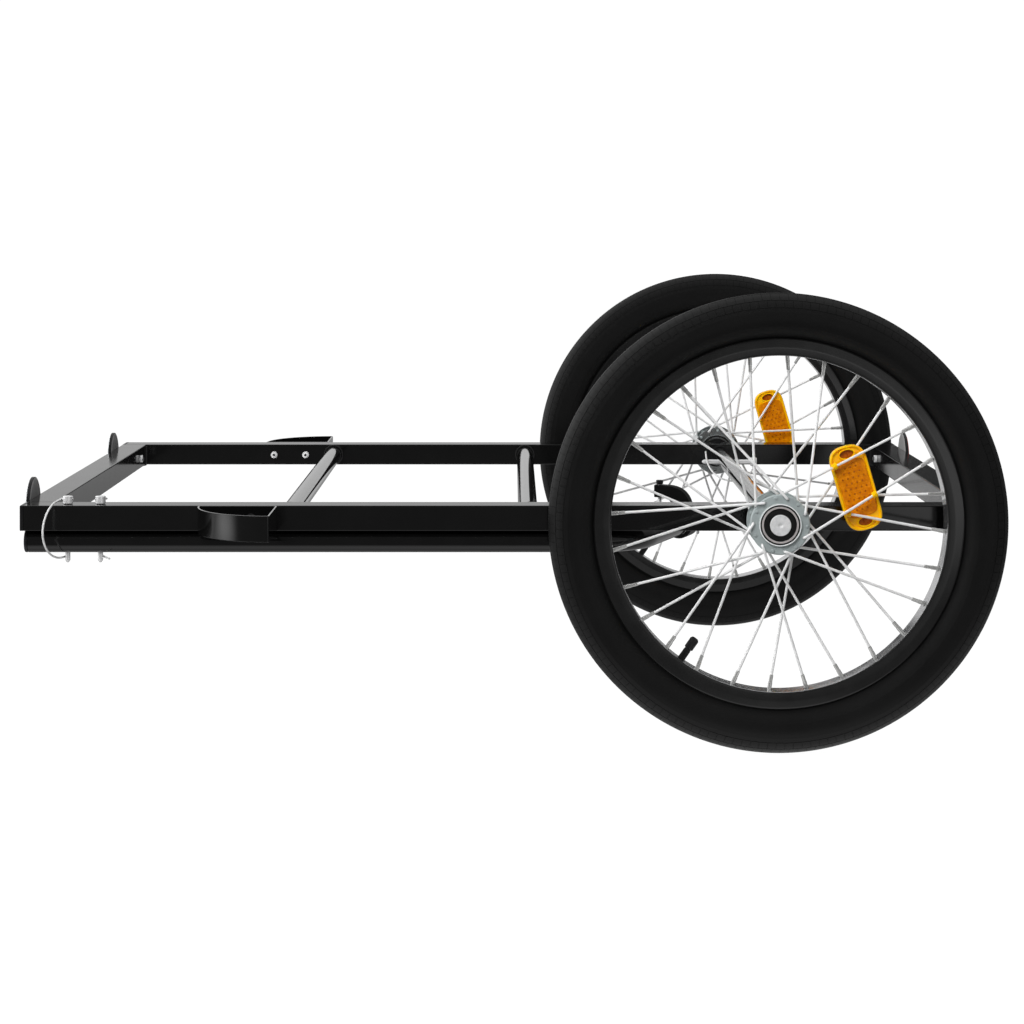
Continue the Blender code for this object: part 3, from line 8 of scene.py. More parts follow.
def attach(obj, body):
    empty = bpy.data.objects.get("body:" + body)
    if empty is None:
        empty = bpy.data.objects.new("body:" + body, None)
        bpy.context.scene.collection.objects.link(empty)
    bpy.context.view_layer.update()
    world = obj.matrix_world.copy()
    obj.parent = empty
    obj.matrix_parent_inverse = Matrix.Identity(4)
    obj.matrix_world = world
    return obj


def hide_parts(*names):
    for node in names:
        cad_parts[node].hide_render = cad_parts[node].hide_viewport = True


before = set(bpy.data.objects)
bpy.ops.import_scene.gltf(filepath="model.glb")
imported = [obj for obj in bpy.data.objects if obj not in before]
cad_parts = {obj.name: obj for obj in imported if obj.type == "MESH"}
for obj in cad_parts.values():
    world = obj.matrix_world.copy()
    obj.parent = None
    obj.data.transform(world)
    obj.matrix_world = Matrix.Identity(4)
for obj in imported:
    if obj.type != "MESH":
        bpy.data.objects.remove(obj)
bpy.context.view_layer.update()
scene = bpy.context.scene
xAxis, yAxis, zAxis = Vector((1, 0, 0)), Vector((0, 1, 0)), Vector((0, 0, 1))
upright = Matrix.Identity(4)


# small helpers for nodes and meshes

def linear(code):
    # sRGB hex to the linear colour that Blender's sockets take
    channels = [int(code[i:i + 2], 16) / 255 for i in (1, 3, 5)]
    return tuple(c / 12.92 if c <= 0.04045 else ((c + 0.055) / 1.055) ** 2.4 for c in channels) + (1.0,)


def addNode(tree, kind, inputs=None, **settings):
    # inputs: {socket name or number: value, or an output to link}
    node = tree.nodes.new(kind)
    for key, value in settings.items():
        setattr(node, key, value)
    for key, value in (inputs or {}).items():
        if isinstance(value, bpy.types.NodeSocket):
            tree.links.new(value, node.inputs[key])
        else:
            node.inputs[key].default_value = value
    return node


def first(tree, kind, inputs=None, **settings):
    return addNode(tree, kind, inputs, **settings).outputs[0]


def calc(tree, operation, *values):
    return first(tree, "ShaderNodeMath", dict(enumerate(values)), operation=operation)


def circle(radius, turn):
    return radius * math.cos(turn), radius * math.sin(turn)


def placeMatrix(origin, xDirection, yDirection, zDirection):
    columns = Matrix((xDirection, yDirection, zDirection)).transposed().to_4x4()
    return Matrix.Translation(Vector(origin)) @ columns


def axisPlace(origin, direction):
    # a frame whose +Y runs along the direction
    along = Vector(direction).normalized()
    helper = zAxis if abs(along.z) < 0.9 else xAxis
    across = along.cross(helper).normalized()
    return placeMatrix(origin, across, along, across.cross(along))


def rounded(points, radius, steps=4, closed=True):
    # takes the corners off a line of points, by up to the radius along each side
    points = [Vector(p) for p in points]
    count, out = len(points), []
    for i, corner in enumerate(points):
        if not closed and i in (0, count - 1):
            out.append(corner)
            continue
        before, after = points[i - 1] - corner, points[(i + 1) % count] - corner
        cut = min(radius, 0.46 * before.length, 0.46 * after.length)
        start, end = corner + before.normalized() * cut, corner + after.normalized() * cut
        for k in range(steps + 1):
            t = k / steps
            out.append(start * (1 - t) ** 2 + corner * 2 * t * (1 - t) + end * t * t)
    return out


def boxOutline(width, height, corner, steps=6):
    a, b = width / 2, height / 2
    return rounded([(a, b), (-a, b), (-a, -b), (a, -b)], corner, steps)


def bothSides(profile):
    # mirrors an open line of (radius, distance) about the middle
    return profile + [(r, -a) for r, a in reversed(profile) if a > 1e-6]


def skin(bm, rings, closed=False, caps=False):
    # joins rings of as many points each
    for first, second in zip(rings, rings[1:] + (rings[:1] if closed else [])):
        for i in range(len(first)):
            j = (i + 1) % len(first)
            bm.faces.new((first[i], first[j], second[j], second[i]))
    if caps:
        bm.faces.new(rings[0])
        bm.faces.new(rings[-1])


def revolve(bm, profile, place, segments=96, closed=True):
    # spins (radius, distance along local Y) about local Y; an open profile starts and ends on the axis
    rings = []
    for radius, along in profile:
        count = segments if radius > 1e-7 else 1
        spots = [circle(radius, math.tau * k / segments) for k in range(count)]
        rings.append([bm.verts.new(place @ Vector((x, along, z))) for x, z in spots])
    for first, second in zip(rings, rings[1:] + (rings[:1] if closed else [])):
        for k in range(segments):
            j = (k + 1) % segments
            corners = [first[k % len(first)], first[j % len(first)], second[j % len(second)],
                       second[k % len(second)]]
            face = list(dict.fromkeys(corners))
            if len(face) > 2:
                bm.faces.new(face)


def turned(bm, points, radius, steps, place, segments, closed=False):
    # a turned piece with its corners rounded
    revolve(bm, rounded(points, radius, steps, closed), place, segments, closed)


def band(bm, outer, inner, low, high, place):
    # a wall between two outlines of as many points in local XZ, from low to high along local Y
    skin(bm, [[bm.verts.new(place @ Vector((p[0], level, p[1]))) for p in outline]
              for outline, level in ((outer, low), (outer, high), (inner, high), (inner, low))], closed=True)


def slab(bm, outline, levels, place):
    # stacks outlines: levels are (distance along local Y, how far the outline is drawn in)
    middle = sum((Vector(p) for p in outline), Vector((0, 0))) / len(outline)
    ways = [Vector(p) - middle for p in outline]
    skin(bm, [[bm.verts.new(place @ Vector((*(middle + way * (1 - inset / way.length)), level)).xzy)
               for way in ways] for level, inset in levels], caps=True)


def scaledStack(bm, outline, levels, place):
    # stacks outlines: levels are (distance along local Y, size)
    skin(bm, [[bm.verts.new(place @ Vector((p[0] * size, level, p[1] * size))) for p in outline]
              for level, size in levels], caps=True)


def carriedFrames(points):
    # one normal carried along the line, so that what is swept does not twist
    steps = [(b - a).normalized() for a, b in zip(points, points[1:])]
    tangents = [(before + after).normalized() for before, after in zip(steps[:1] + steps, steps + steps[-1:])]
    helper = zAxis if abs(tangents[0].z) < 0.9 else xAxis
    normal = tangents[0].cross(helper).normalized()
    frames = []
    for i, tangent in enumerate(tangents):
        if i:
            normal = tangents[i - 1].rotation_difference(tangent) @ normal
        frames.append((normal, tangent.cross(normal)))
    return frames


def ringRound(bm, centre, across, upward, radius, sides):
    return [bm.verts.new(centre + (across * math.cos(math.tau * k / sides)
                                   + upward * math.sin(math.tau * k / sides)) * radius) for k in range(sides)]


def sweep(bm, points, radius, sides, inner=None):
    # a rod along the points, or a tube when an inner radius is given
    points = [Vector(p) for p in points]
    frames = carriedFrames(points)
    skins = [[ringRound(bm, centre, *axes, size, sides) for centre, axes in zip(points, frames)]
             for size in ((radius, inner) if inner else (radius,))]
    if inner:
        skins += [[rings[end] for rings in skins] for end in (0, -1)]
    else:
        bm.faces.new(skins[0][0])
        bm.faces.new(skins[0][-1])
    for rings in skins:
        skin(bm, rings)


def addItem(name, data):
    item = bpy.data.objects.new(name, data)
    scene.collection.objects.link(item)
    return item


def makeObject(name, bm, material, sharp=35):
    mesh = bpy.data.meshes.new(name)
    bmesh.ops.remove_doubles(bm, verts=bm.verts, dist=1e-6)
    bmesh.ops.recalc_face_normals(bm, faces=bm.faces)
    bm.to_mesh(mesh)
    bm.free()
    mesh.shade_smooth()
    mesh.set_sharp_from_angle(angle=math.radians(sharp))
    mesh.materials.append(material)
    return addItem(name, mesh)


def settle(item):
    # makes the evaluated mesh the object's own and drops its modifiers
    graph = bpy.context.evaluated_depsgraph_get()
    mesh = bpy.data.meshes.new_from_object(item.evaluated_get(graph), depsgraph=graph)
    item.modifiers.clear()
    item.data = mesh
    return item


def combine(item, other, operation):
    modifier = item.modifiers.new("shape", "BOOLEAN")
    modifier.operation, modifier.solver, modifier.object = operation, "EXACT", other
    settle(item)
    bpy.data.objects.remove(other)


def cut(item, cutters):
    combine(item, makeObject(item.name + "Cutter", cutters, item.data.materials[0]), "DIFFERENCE")
    item.data.shade_smooth()
    sharpen(item, 35)


def drill(item, holes):
    # holes: (place, radius, from, to, number of sides), along local Y
    cutters = bmesh.new()
    for place, radius, low, high, sides in holes:
        revolve(cutters, [(0, low), (radius, low), (radius, high), (0, high)], place, sides, closed=False)
    cut(item, cutters)


def through(spot, direction, radius, reach, sides=24):
    # a hole for drill, as far to both sides of the spot
    return axisPlace(spot, direction), radius, -reach, reach, sides


def paint(item, material, chosen):
    # gives the faces that a test picks a second material
    item.data.materials.append(material)
    for face in item.data.polygons:
        if chosen(face):
            face.material_index = 1


def growNodes(item, tree, values):
    # runs a Geometry Nodes tree on the object and keeps only its mesh
    modifier = item.modifiers.new("nodes", "NODES")
    modifier.node_group = tree
    for socket in tree.interface.items_tree:
        if socket.item_type == "SOCKET" and socket.in_out == "INPUT" and socket.name in values:
            modifier[socket.identifier] = values[socket.name]
    return settle(item)


def layDown(item, place):
    item.data.transform(place)
    # wheel frames of the left side are mirror frames, which turn faces inside out
    if place.is_negative:
        item.data.flip_normals()


def sharpen(item, degrees):
    item.data.set_sharp_from_angle(angle=math.radians(degrees))


def finishPiece(item, body, *nodes, slot=None):
    # weighted normals keep the shading of large faces flat right up to their rounded edges
    modifier = item.modifiers.new("flatFaces", "WEIGHTED_NORMAL")
    modifier.keep_sharp = True
    settle(item)
    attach(item, body)
    if nodes:
        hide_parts(*nodes)


def makePiece(name, bm, material, body, *nodes, sharp=35, slot=None):
    finishPiece(makeObject(name, bm, material, sharp), body, *nodes, slot=slot)


def turnedPiece(name, points, rounding, place, segments, material, body, *nodes, closed=False):
    bm = bmesh.new()
    turned(bm, points, *rounding, place, segments, closed)
    makePiece(name, bm, material, body, *nodes)


# materials

def noise(tree, scale, detail):
    # scale is in cells per metre
    spot = addNode(tree, "ShaderNodeTexCoord").outputs["Object"]
    return first(tree, "ShaderNodeTexNoise", {"Vector": spot, "Scale": scale, "Detail": detail,
                                              "Roughness": 0.55})


def newMaterial(name, slot, colour, roughness, metallic, cloud, relief=None, **sockets):
    # cloud: scale, dark and light colour, least and most roughness, detail; relief: scale, strength,
    # distance, detail
    material = bpy.data.materials.new(name)
    material.use_nodes = True
    tree = material.node_tree
    shader = tree.nodes["Principled BSDF"].inputs
    sockets.update({"Base Color": linear(colour), "Roughness": roughness, "Metallic": metallic})
    for key, value in sockets.items():
        shader[key.replace("_", " ")].default_value = value
    material.diffuse_color = linear(colour)
    scale, dark, light, least, most, detail = cloud
    value = noise(tree, scale, detail)
    tint = addNode(tree, "ShaderNodeValToRGB", {"Fac": value})
    for element, place, code in zip(tint.color_ramp.elements, (0.3, 0.7), (dark, light)):
        element.position, element.color = place, linear(code)
    tree.links.new(tint.outputs["Color"], shader["Base Color"])
    spread = first(tree, "ShaderNodeMapRange", {"Value": value, "From Min": 0.3, "From Max": 0.7,
                                                "To Min": least, "To Max": most})
    tree.links.new(spread, shader["Roughness"])
    if relief:
        scale, strength, distance, detail = relief
        bump = first(tree, "ShaderNodeBump", {"Height": noise(tree, scale, detail), "Strength": strength,
                                              "Distance": distance})
        tree.links.new(bump, shader["Normal"])
    return material


# polyester powder coat over welded steel tube, sprayed and baked: black gloss with a faint orange peel
powderCoat = newMaterial("blackPolyesterPowderCoat", "black_powder_coat", "#080808", 0.11, 0.0,
                         (40, "#070707", "#0a0a0a", 0.1, 0.13, 2), (520, 0.02, 0.0001, 1))
# the round tubes take the coat smoother than the flats and have lacquer over it, so they look lighter
tubeCoat = newMaterial("lacqueredTubeCoat", "black_powder_coat", "#080808", 0.1, 0.0,
                       (40, "#070707", "#0a0a0a", 0.09, 0.12, 2), Coat_Weight=1.0, Coat_Roughness=0.05)
# the claw is a casting under the same coat, matter and a little rough
castCoat = newMaterial("coatedCastSteel", "black_powder_coat", "#080808", 0.42, 0.0,
                       (700, "#060606", "#0b0b0b", 0.38, 0.5, 2), (700, 0.2, 0.0002, 2),
                       Specular_IOR_Level=0.25)
# polypropylene, injection moulded: satin black with a fine spark-eroded grain, drawn coarser than it is
mouldedPlastic = newMaterial("blackMouldedPolypropylene", "black_plastic", "#101011", 0.34, 0.0,
                             (60, "#0d0d0e", "#131314", 0.3, 0.38, 2), (2200, 0.1, 0.0001, 1),
                             Specular_IOR_Level=0.45)
# the backs of the black reflector cups, painted light grey: a painted reflection of the room's light on the
# black plastic
cupBackPaintedReflection = newMaterial("etchedBlackAbs", "black_plastic", "#8a8a8a", 0.5, 0.0,
                           (120, "#848484", "#909090", 0.45, 0.56, 3))
# tyre rubber, moulded and cured: dull black, greyer where it has been handled
tyreRubber = newMaterial("mouldedTyreRubber", "tyre_rubber", "#0e0e0e", 0.46, 0.0,
                         (26, "#0c0c0c", "#101010", 0.46, 0.54, 5), (1400, 0.08, 0.0001, 2),
                         Specular_IOR_Level=0.22)
# the hitch sleeve and seals, in a softer and smoother rubber
softRubber = newMaterial("mouldedNitrileRubber", "black_rubber", "#0e0e0e", 0.5, 0.0,
                         (300, "#0b0b0b", "#121212", 0.44, 0.58, 3), (300, 0.05, 0.0002, 3),
                         Specular_IOR_Level=0.4)
# steel with bright zinc plating: pale grey with a slight cloudy spangle
zincPlated = newMaterial("brightZincPlatedSteel", "zinc_plated_steel", "#eaebec", 0.34, 0.35,
                         (260, "#dcddde", "#f5f5f5", 0.28, 0.42, 4), (260, 0.03, 0.0002, 4))
# turned pins with the same plating, polished: a light and a dark side, as round bright metal has
pinZinc = newMaterial("polishedZincPin", "zinc_plated_steel", "#f0f0f1", 0.24, 0.55,
                      (120, "#ececed", "#f4f4f4", 0.22, 0.27, 1))
# drawn spring wire with the same plating
springWire = newMaterial("drawnSpringWire", "zinc_plated_steel", "#ececec", 0.3, 0.5,
                         (500, "#dedede", "#f4f4f4", 0.24, 0.36, 2))
# galvanised spokes: pale silver, half dull, so that they stay light against the dark tyre
spokeSteel = newMaterial("galvanisedSpokeWire", "spoke_steel", "#f2f2f2", 0.34, 0.25,
                         (120, "#ececec", "#f8f8f8", 0.31, 0.38, 1))
# nickel-plated brass nipples, turned: darker than the spokes
nippleNickel = newMaterial("nickelPlatedNipple", "spoke_steel", "#dededc", 0.26, 0.8,
                           (120, "#d9d9d7", "#e4e4e2", 0.24, 0.29, 1))
# pressed hub flanges with a passivated zinc finish: grey-green, half dull
hubZinc = newMaterial("passivatedHubZinc", "hub_steel", "#a6b0b0", 0.46, 0.2,
                      (120, "#a0a9a9", "#acb5b5", 0.42, 0.5, 2), (120, 0.04, 0.0001, 2))
# the hub's inward side, under the same finish but polished: it mirrors the dark of the room
hubPolish = newMaterial("polishedHubZinc", "hub_steel", "#a9acac", 0.3, 0.97,
                        (210, "#9ea1a1", "#b4b7b7", 0.22, 0.34, 4))
# the turned band in the mouth of the hub, grey with fine tool marks
hubFace = newMaterial("turnedHubBand", "hub_steel", "#bdb7b6", 0.34, 0.3,
                      (380, "#b2acab", "#c8c2c1", 0.28, 0.42, 3))
# the lip round it, where the tool has cut through the finish to bright steel
hubLip = newMaterial("brightHubLip", "hub_steel", "#f2f5f5", 0.3, 0.2,
                     (380, "#eaeeee", "#fafcfc", 0.26, 0.36, 2))
# machined bearing steel, turned bright
bearingSteel = newMaterial("turnedBearingSteel", "bearing_steel", "#a9abad", 0.24, 1.0,
                           (380, "#98999b", "#b9bbbc", 0.18, 0.34, 3))
# aluminium rim with a black gloss coat
rimCoat = newMaterial("glossBlackRimCoat", "black_rim_enamel", "#171717", 0.14, 0.0,
                      (60, "#151515", "#1a1a1a", 0.12, 0.17, 3))
# the rim's bed between the spokes, bare rolled aluminium: bright or dark by what it mirrors
rimBare = newMaterial("rolledRimAluminium", "black_rim_enamel", "#f0f0f1", 0.12, 0.96,
                      (90, "#e8e8ea", "#f6f6f7", 0.1, 0.15, 3))
# polycarbonate reflector body, moulded in see-through amber
amberBody = newMaterial("mouldedAmberBody", "amber_plastic", "#ffbc00", 0.22, 0.0,
                        (90, "#fbb000", "#ffca00", 0.18, 0.3, 2), Specular_IOR_Level=0.3,
                        Subsurface_Weight=0.2, Subsurface_Scale=0.002)
# its reflecting panel, deeper orange behind small prisms
amberPanel = newMaterial("prismaticAmberPanel", "amber_lens", "#d67c00", 0.24, 0.0,
                         (260, "#c86c00", "#e28a00", 0.2, 0.3, 2), Specular_IOR_Level=0.16)
# the seats of the prisms, which throw no light back at this angle, and the walls of the clip eyes: darker
# amber as painted shade
paintedShadeAmber = newMaterial("darkPrismSeat", "amber_lens", "#a85400", 0.3, 0.0,
                        (500, "#9c4800", "#b66000", 0.24, 0.36, 1), Specular_IOR_Level=0.2)
# end reflectors: clear acrylic in front and red behind, over prisms
clearLens = newMaterial("clearAcrylicLens", "clear_lens", "#cfd3d4", 0.1, 0.0,
                        (320, "#b9bec0", "#e2e5e6", 0.07, 0.16, 1), IOR=1.49)
redLens = newMaterial("redAcrylicLens", "red_lens", "#b52a10", 0.12, 0.0,
                      (320, "#9a1c0a", "#cf3a18", 0.08, 0.18, 1), IOR=1.49)
print("materials ready")


# Geometry Nodes trees

def geo(tree, kind, inputs=None, **settings):
    return first(tree, "GeometryNode" + kind, inputs, **settings)


def newTree(name, sockets):
    tree = bpy.data.node_groups.new(name, "GeometryNodeTree")
    tree.interface.new_socket("Geometry", in_out="INPUT", socket_type="NodeSocketGeometry")
    for label, kind in {**sockets, "Material": "Material"}.items():
        tree.interface.new_socket(label, in_out="INPUT", socket_type="NodeSocket" + kind)
    tree.interface.new_socket("Geometry", in_out="OUTPUT", socket_type="NodeSocketGeometry")
    return tree, addNode(tree, "NodeGroupInput").outputs


def endTree(tree, geometry, material):
    # every tree ends in real geometry with its material
    real = geo(tree, "RealizeInstances", {0: geo(tree, "SetShadeSmooth", {0: geometry})})
    dressed = geo(tree, "SetMaterial", {"Geometry": real, "Material": material})
    addNode(tree, "NodeGroupOutput", {"Geometry": dressed})
    return tree


def copiesOn(tree, spots, shape, **more):
    return geo(tree, "InstanceOnPoints", {"Points": spots, "Instance": shape, **more})


def shapeOf(tree, item):
    return addNode(tree, "GeometryNodeObjectInfo", {"Object": item}).outputs["Geometry"]


def wireTree():
    # a round wire along every line of edges
    tree, given = newTree("wiresAlongLines", {"Wire radius": "Float", "Sides": "Int"})
    curve = geo(tree, "MeshToCurve", {"Mesh": given["Geometry"]})
    ring = geo(tree, "CurvePrimitiveCircle", {"Resolution": given["Sides"], "Radius": given["Wire radius"]})
    wire = geo(tree, "CurveToMesh", {"Curve": curve, "Profile Curve": ring, "Fill Caps": True})
    return endTree(tree, wire, given["Material"])


def standingTree():
    # a copy of one piece on every point, its Y along the point's "along" direction
    tree, given = newTree("piecesOnPoints", {"Piece": "Object", "Scale": "Float"})
    along = geo(tree, "InputNamedAttribute", {"Name": "along"}, data_type="FLOAT_VECTOR")
    turn = first(tree, "FunctionNodeAlignRotationToVector", {"Vector": along}, axis="Y")
    copies = copiesOn(tree, given["Geometry"], shapeOf(tree, given["Piece"]), Rotation=turn,
                      Scale=given["Scale"])
    return endTree(tree, copies, given["Material"])


def wheelRingTree():
    # copies of one pitch of tread, turned about Y
    tree, given = newTree("treadAroundWheel", {"Pitch piece": "Object", "Count": "Int"})
    angle = calc(tree, "MULTIPLY", geo(tree, "InputIndex"), calc(tree, "DIVIDE", math.tau, given["Count"]))
    spots = geo(tree, "Points", {"Count": given["Count"]})
    copies = copiesOn(tree, spots, shapeOf(tree, given["Pitch piece"]),
                      Rotation=first(tree, "ShaderNodeCombineXYZ", {"Y": angle}))
    return endTree(tree, copies, given["Material"])


def weldTree():
    # overlapping flat drops of weld along a seam
    tree, given = newTree("weldBeads", {"Bead spacing": "Float", "Bead radius": "Float", "Seed": "Int"})
    curve = geo(tree, "MeshToCurve", {"Mesh": given["Geometry"]})
    spots = addNode(tree, "GeometryNodeCurveToPoints", {"Curve": curve, "Length": given["Bead spacing"]},
                    mode="LENGTH").outputs
    drop = geo(tree, "MeshUVSphere", {"Segments": 10, "Rings": 6, "Radius": given["Bead radius"]})
    size = addNode(tree, "FunctionNodeRandomValue", {2: 0.88, 3: 1.12, "Seed": given["Seed"]},
                   data_type="FLOAT").outputs[1]
    copies = copiesOn(tree, spots["Points"], drop, Rotation=spots["Rotation"], Scale=size)
    return endTree(tree, copies, given["Material"])


def prismTree():
    # a honeycomb of small domes inside a capsule outline in local XZ, raised along local Y
    tree, given = newTree("prismPanel", {"Pitch": "Float", "Half length": "Float", "Radius": "Float",
                                         "Dome radius": "Float"})
    pitch, long, radius = given["Pitch"], given["Half length"], given["Radius"]
    span = calc(tree, "MULTIPLY", calc(tree, "ADD", long, radius), 2.0)
    count = calc(tree, "ADD", calc(tree, "DIVIDE", span, pitch), 1.0)
    grid = geo(tree, "MeshGrid", {"Size X": span, "Size Y": span, "Vertices X": count, "Vertices Y": count})
    x, y, z = addNode(tree, "ShaderNodeSeparateXYZ", {0: geo(tree, "InputPosition")}).outputs
    # every second row is shifted by half a pitch
    odd = calc(tree, "FLOORED_MODULO", calc(tree, "ROUND", calc(tree, "DIVIDE", y, pitch)), 2.0)
    across = calc(tree, "ADD", x, calc(tree, "MULTIPLY", odd, calc(tree, "MULTIPLY", pitch, 0.5)))
    flat = first(tree, "ShaderNodeCombineXYZ", {"X": across, "Z": y})
    laid = geo(tree, "SetPosition", {"Geometry": grid, "Position": flat})
    past = calc(tree, "MAXIMUM", calc(tree, "SUBTRACT", calc(tree, "ABSOLUTE", z), long), 0.0)
    away = first(tree, "ShaderNodeCombineXYZ", {"X": x, "Z": past})
    far = addNode(tree, "ShaderNodeVectorMath", {0: away}, operation="LENGTH").outputs["Value"]
    outside = first(tree, "FunctionNodeCompare", {0: far, 1: radius}, operation="GREATER_THAN")
    kept = geo(tree, "DeleteGeometry", {"Geometry": laid, "Selection": outside})
    dome = geo(tree, "MeshIcoSphere", {"Radius": given["Dome radius"], "Subdivisions": 1})
    return endTree(tree, copiesOn(tree, kept, dome, Scale=(1.0, 0.6, 1.0)), given["Material"])


wires, standing, treadRing = wireTree(), standingTree(), wheelRingTree()
weldBeads, prisms = weldTree(), prismTree()


def scatter(name, bm, spots, directions, material, body, slot=None):
    # copies of one shape on the spots, its Y along each direction
    shape = makeObject(name + "Shape", bm, material)
    mesh = bpy.data.meshes.new(name)
    mesh.from_pydata([tuple(p) for p in spots], [], [])
    attribute = mesh.attributes.new("along", "FLOAT_VECTOR", "POINT")
    for k, direction in enumerate(directions):
        attribute.data[k].vector = direction
    mesh.materials.append(material)
    item = growNodes(addItem(name, mesh), standing, {"Piece": shape, "Scale": 1.0, "Material": material})
    sharpen(item, 35)
    bpy.data.objects.remove(shape)
    finishPiece(item, body, slot=slot)


def linesObject(name, lines, material, closed=False):
    verts, edges = [], []
    for line in lines:
        start = len(verts)
        verts += [tuple(p) for p in line]
        edges += [(start + k, start + k + 1) for k in range(len(line) - 1)]
        if closed:
            edges.append((len(verts) - 1, start))
    mesh = bpy.data.meshes.new(name)
    mesh.from_pydata(verts, edges, [])
    mesh.materials.append(material)
    return addItem(name, mesh)


def wirePiece(name, lines, radius, sides, material, body, *nodes):
    item = growNodes(linesObject(name, lines, material), wires,
                     {"Wire radius": radius, "Sides": sides, "Material": material})
    finishPiece(item, body, *nodes)


def prismPiece(name, values, material, body, place, lift):
    # domes laid flat, then each point lifted to the face that carries them
    item = growNodes(linesObject(name, [], material), prisms, {**values, "Material": material})
    for vert in item.data.vertices:
        vert.co.y = lift(vert.co)
    layDown(item, place)
    sharpen(item, 20)
    finishPiece(item, body)


# camera, light and floor

# a shift lens, as in the photograph: it keeps upright lines upright
view = {"location": (0.0039, -2.5451, 0.4635), "lens": 90.44, "sensor": 36, "shift": -0.2922, "clip": 60}
# how bright the surroundings look in the gloss of the object; none of this is seen by the camera
sky = {"behind": 0.55, "behindRight": 0.04, "above": 0.5, "left": 1.0, "right": 0.2, "front": 0.12,
       "frontRight": 0.35, "slant": (0.83, 0.55)}
floorLight = {"near": 0.8, "under": 0.4, "front": 0.13, "frontRight": 1.0, "backLeft": 0.26, "backRight": 0.5,
              "left": 0.6, "right": 0.12, "patch": 2.6, "patchPlace": (-1.95, -0.70, 0.0), "glow": 1.06,
              "shadow": 0.06, "half": 14}
# where one level eases into the next: in the sky by direction, on the floor by place
skyEdges = {"side": (-0.6, 0.6), "slant": (0.147, 0.161), "back": (0.7, 0.9), "above": (0.35, 0.85),
            "ahead": (0.06, 0.2), "level": (-0.55, -0.1)}
floorEdges = {"backSplit": (-0.12, 0.12), "frontRight": ((0.35, 0.7), (-1.2, -1.6)),
              "near": ((-0.56, -0.40),), "under": ((-0.36, -0.28),), "back": ((0.5, 1.3),),
              "right": ((0.5, 1.0), (-1.9, -1.6)), "left": ((-0.6, -1.1), (-1.3, -0.7)),
              "patch": ((0.75, 0.1),)}
# soft light without a mirror image of the lamps: place, size and power
lamps = {"topSoftbox": ((0.3, 0.3, 2.6), 2.4, 16), "frontSoftbox": ((-0.9, -2.2, 2.0), 1.4, 72),
         "leftSoftbox": ((-2.6, -0.8, 1.2), 1.4, 42), "aim": (0, 0, 0.15)}


def ease(tree, value, edges, start=0.0, end=1.0):
    # a smooth step from start to end while the value goes from the first edge to the second
    low, high = edges
    return first(tree, "ShaderNodeMapRange", {"Value": value, "From Min": low, "From Max": high,
                                              "To Min": start, "To Max": end},
                 interpolation_type="SMOOTHSTEP")


def blend(tree, factor, low, high):
    # low and high are numbers or outputs
    return first(tree, "ShaderNodeMix", {"Factor": factor, 2: low, 3: high})


def studioWorld():
    world = bpy.data.worlds.new("studioWorld")
    world.use_nodes = True
    scene.world = world
    tree = world.node_tree
    spot = addNode(tree, "ShaderNodeTexCoord")
    x, y, z = addNode(tree, "ShaderNodeSeparateXYZ", {0: spot.outputs["Generated"]}).outputs
    side = ease(tree, x, skyEdges["side"], sky["left"], sky["right"])
    # darker to the right and up, where only the rear crossmember's top and the rail's rear end look
    slant = calc(tree, "MULTIPLY_ADD", x, sky["slant"][0], calc(tree, "MULTIPLY", z, sky["slant"][1]))
    back = ease(tree, slant, skyEdges["slant"], sky["behind"], sky["behindRight"])
    level = blend(tree, ease(tree, y, skyEdges["back"]), side, back)
    level = blend(tree, ease(tree, z, skyEdges["above"]), level, sky["above"])
    ahead = ease(tree, x, skyEdges["ahead"], sky["front"], sky["frontRight"])
    level = blend(tree, ease(tree, y, skyEdges["level"]), ahead, level)
    ray = addNode(tree, "ShaderNodeLightPath")
    seen = blend(tree, ray.outputs["Is Camera Ray"], level, floorLight["glow"])
    tree.links.new(seen, tree.nodes["Background"].inputs["Color"])


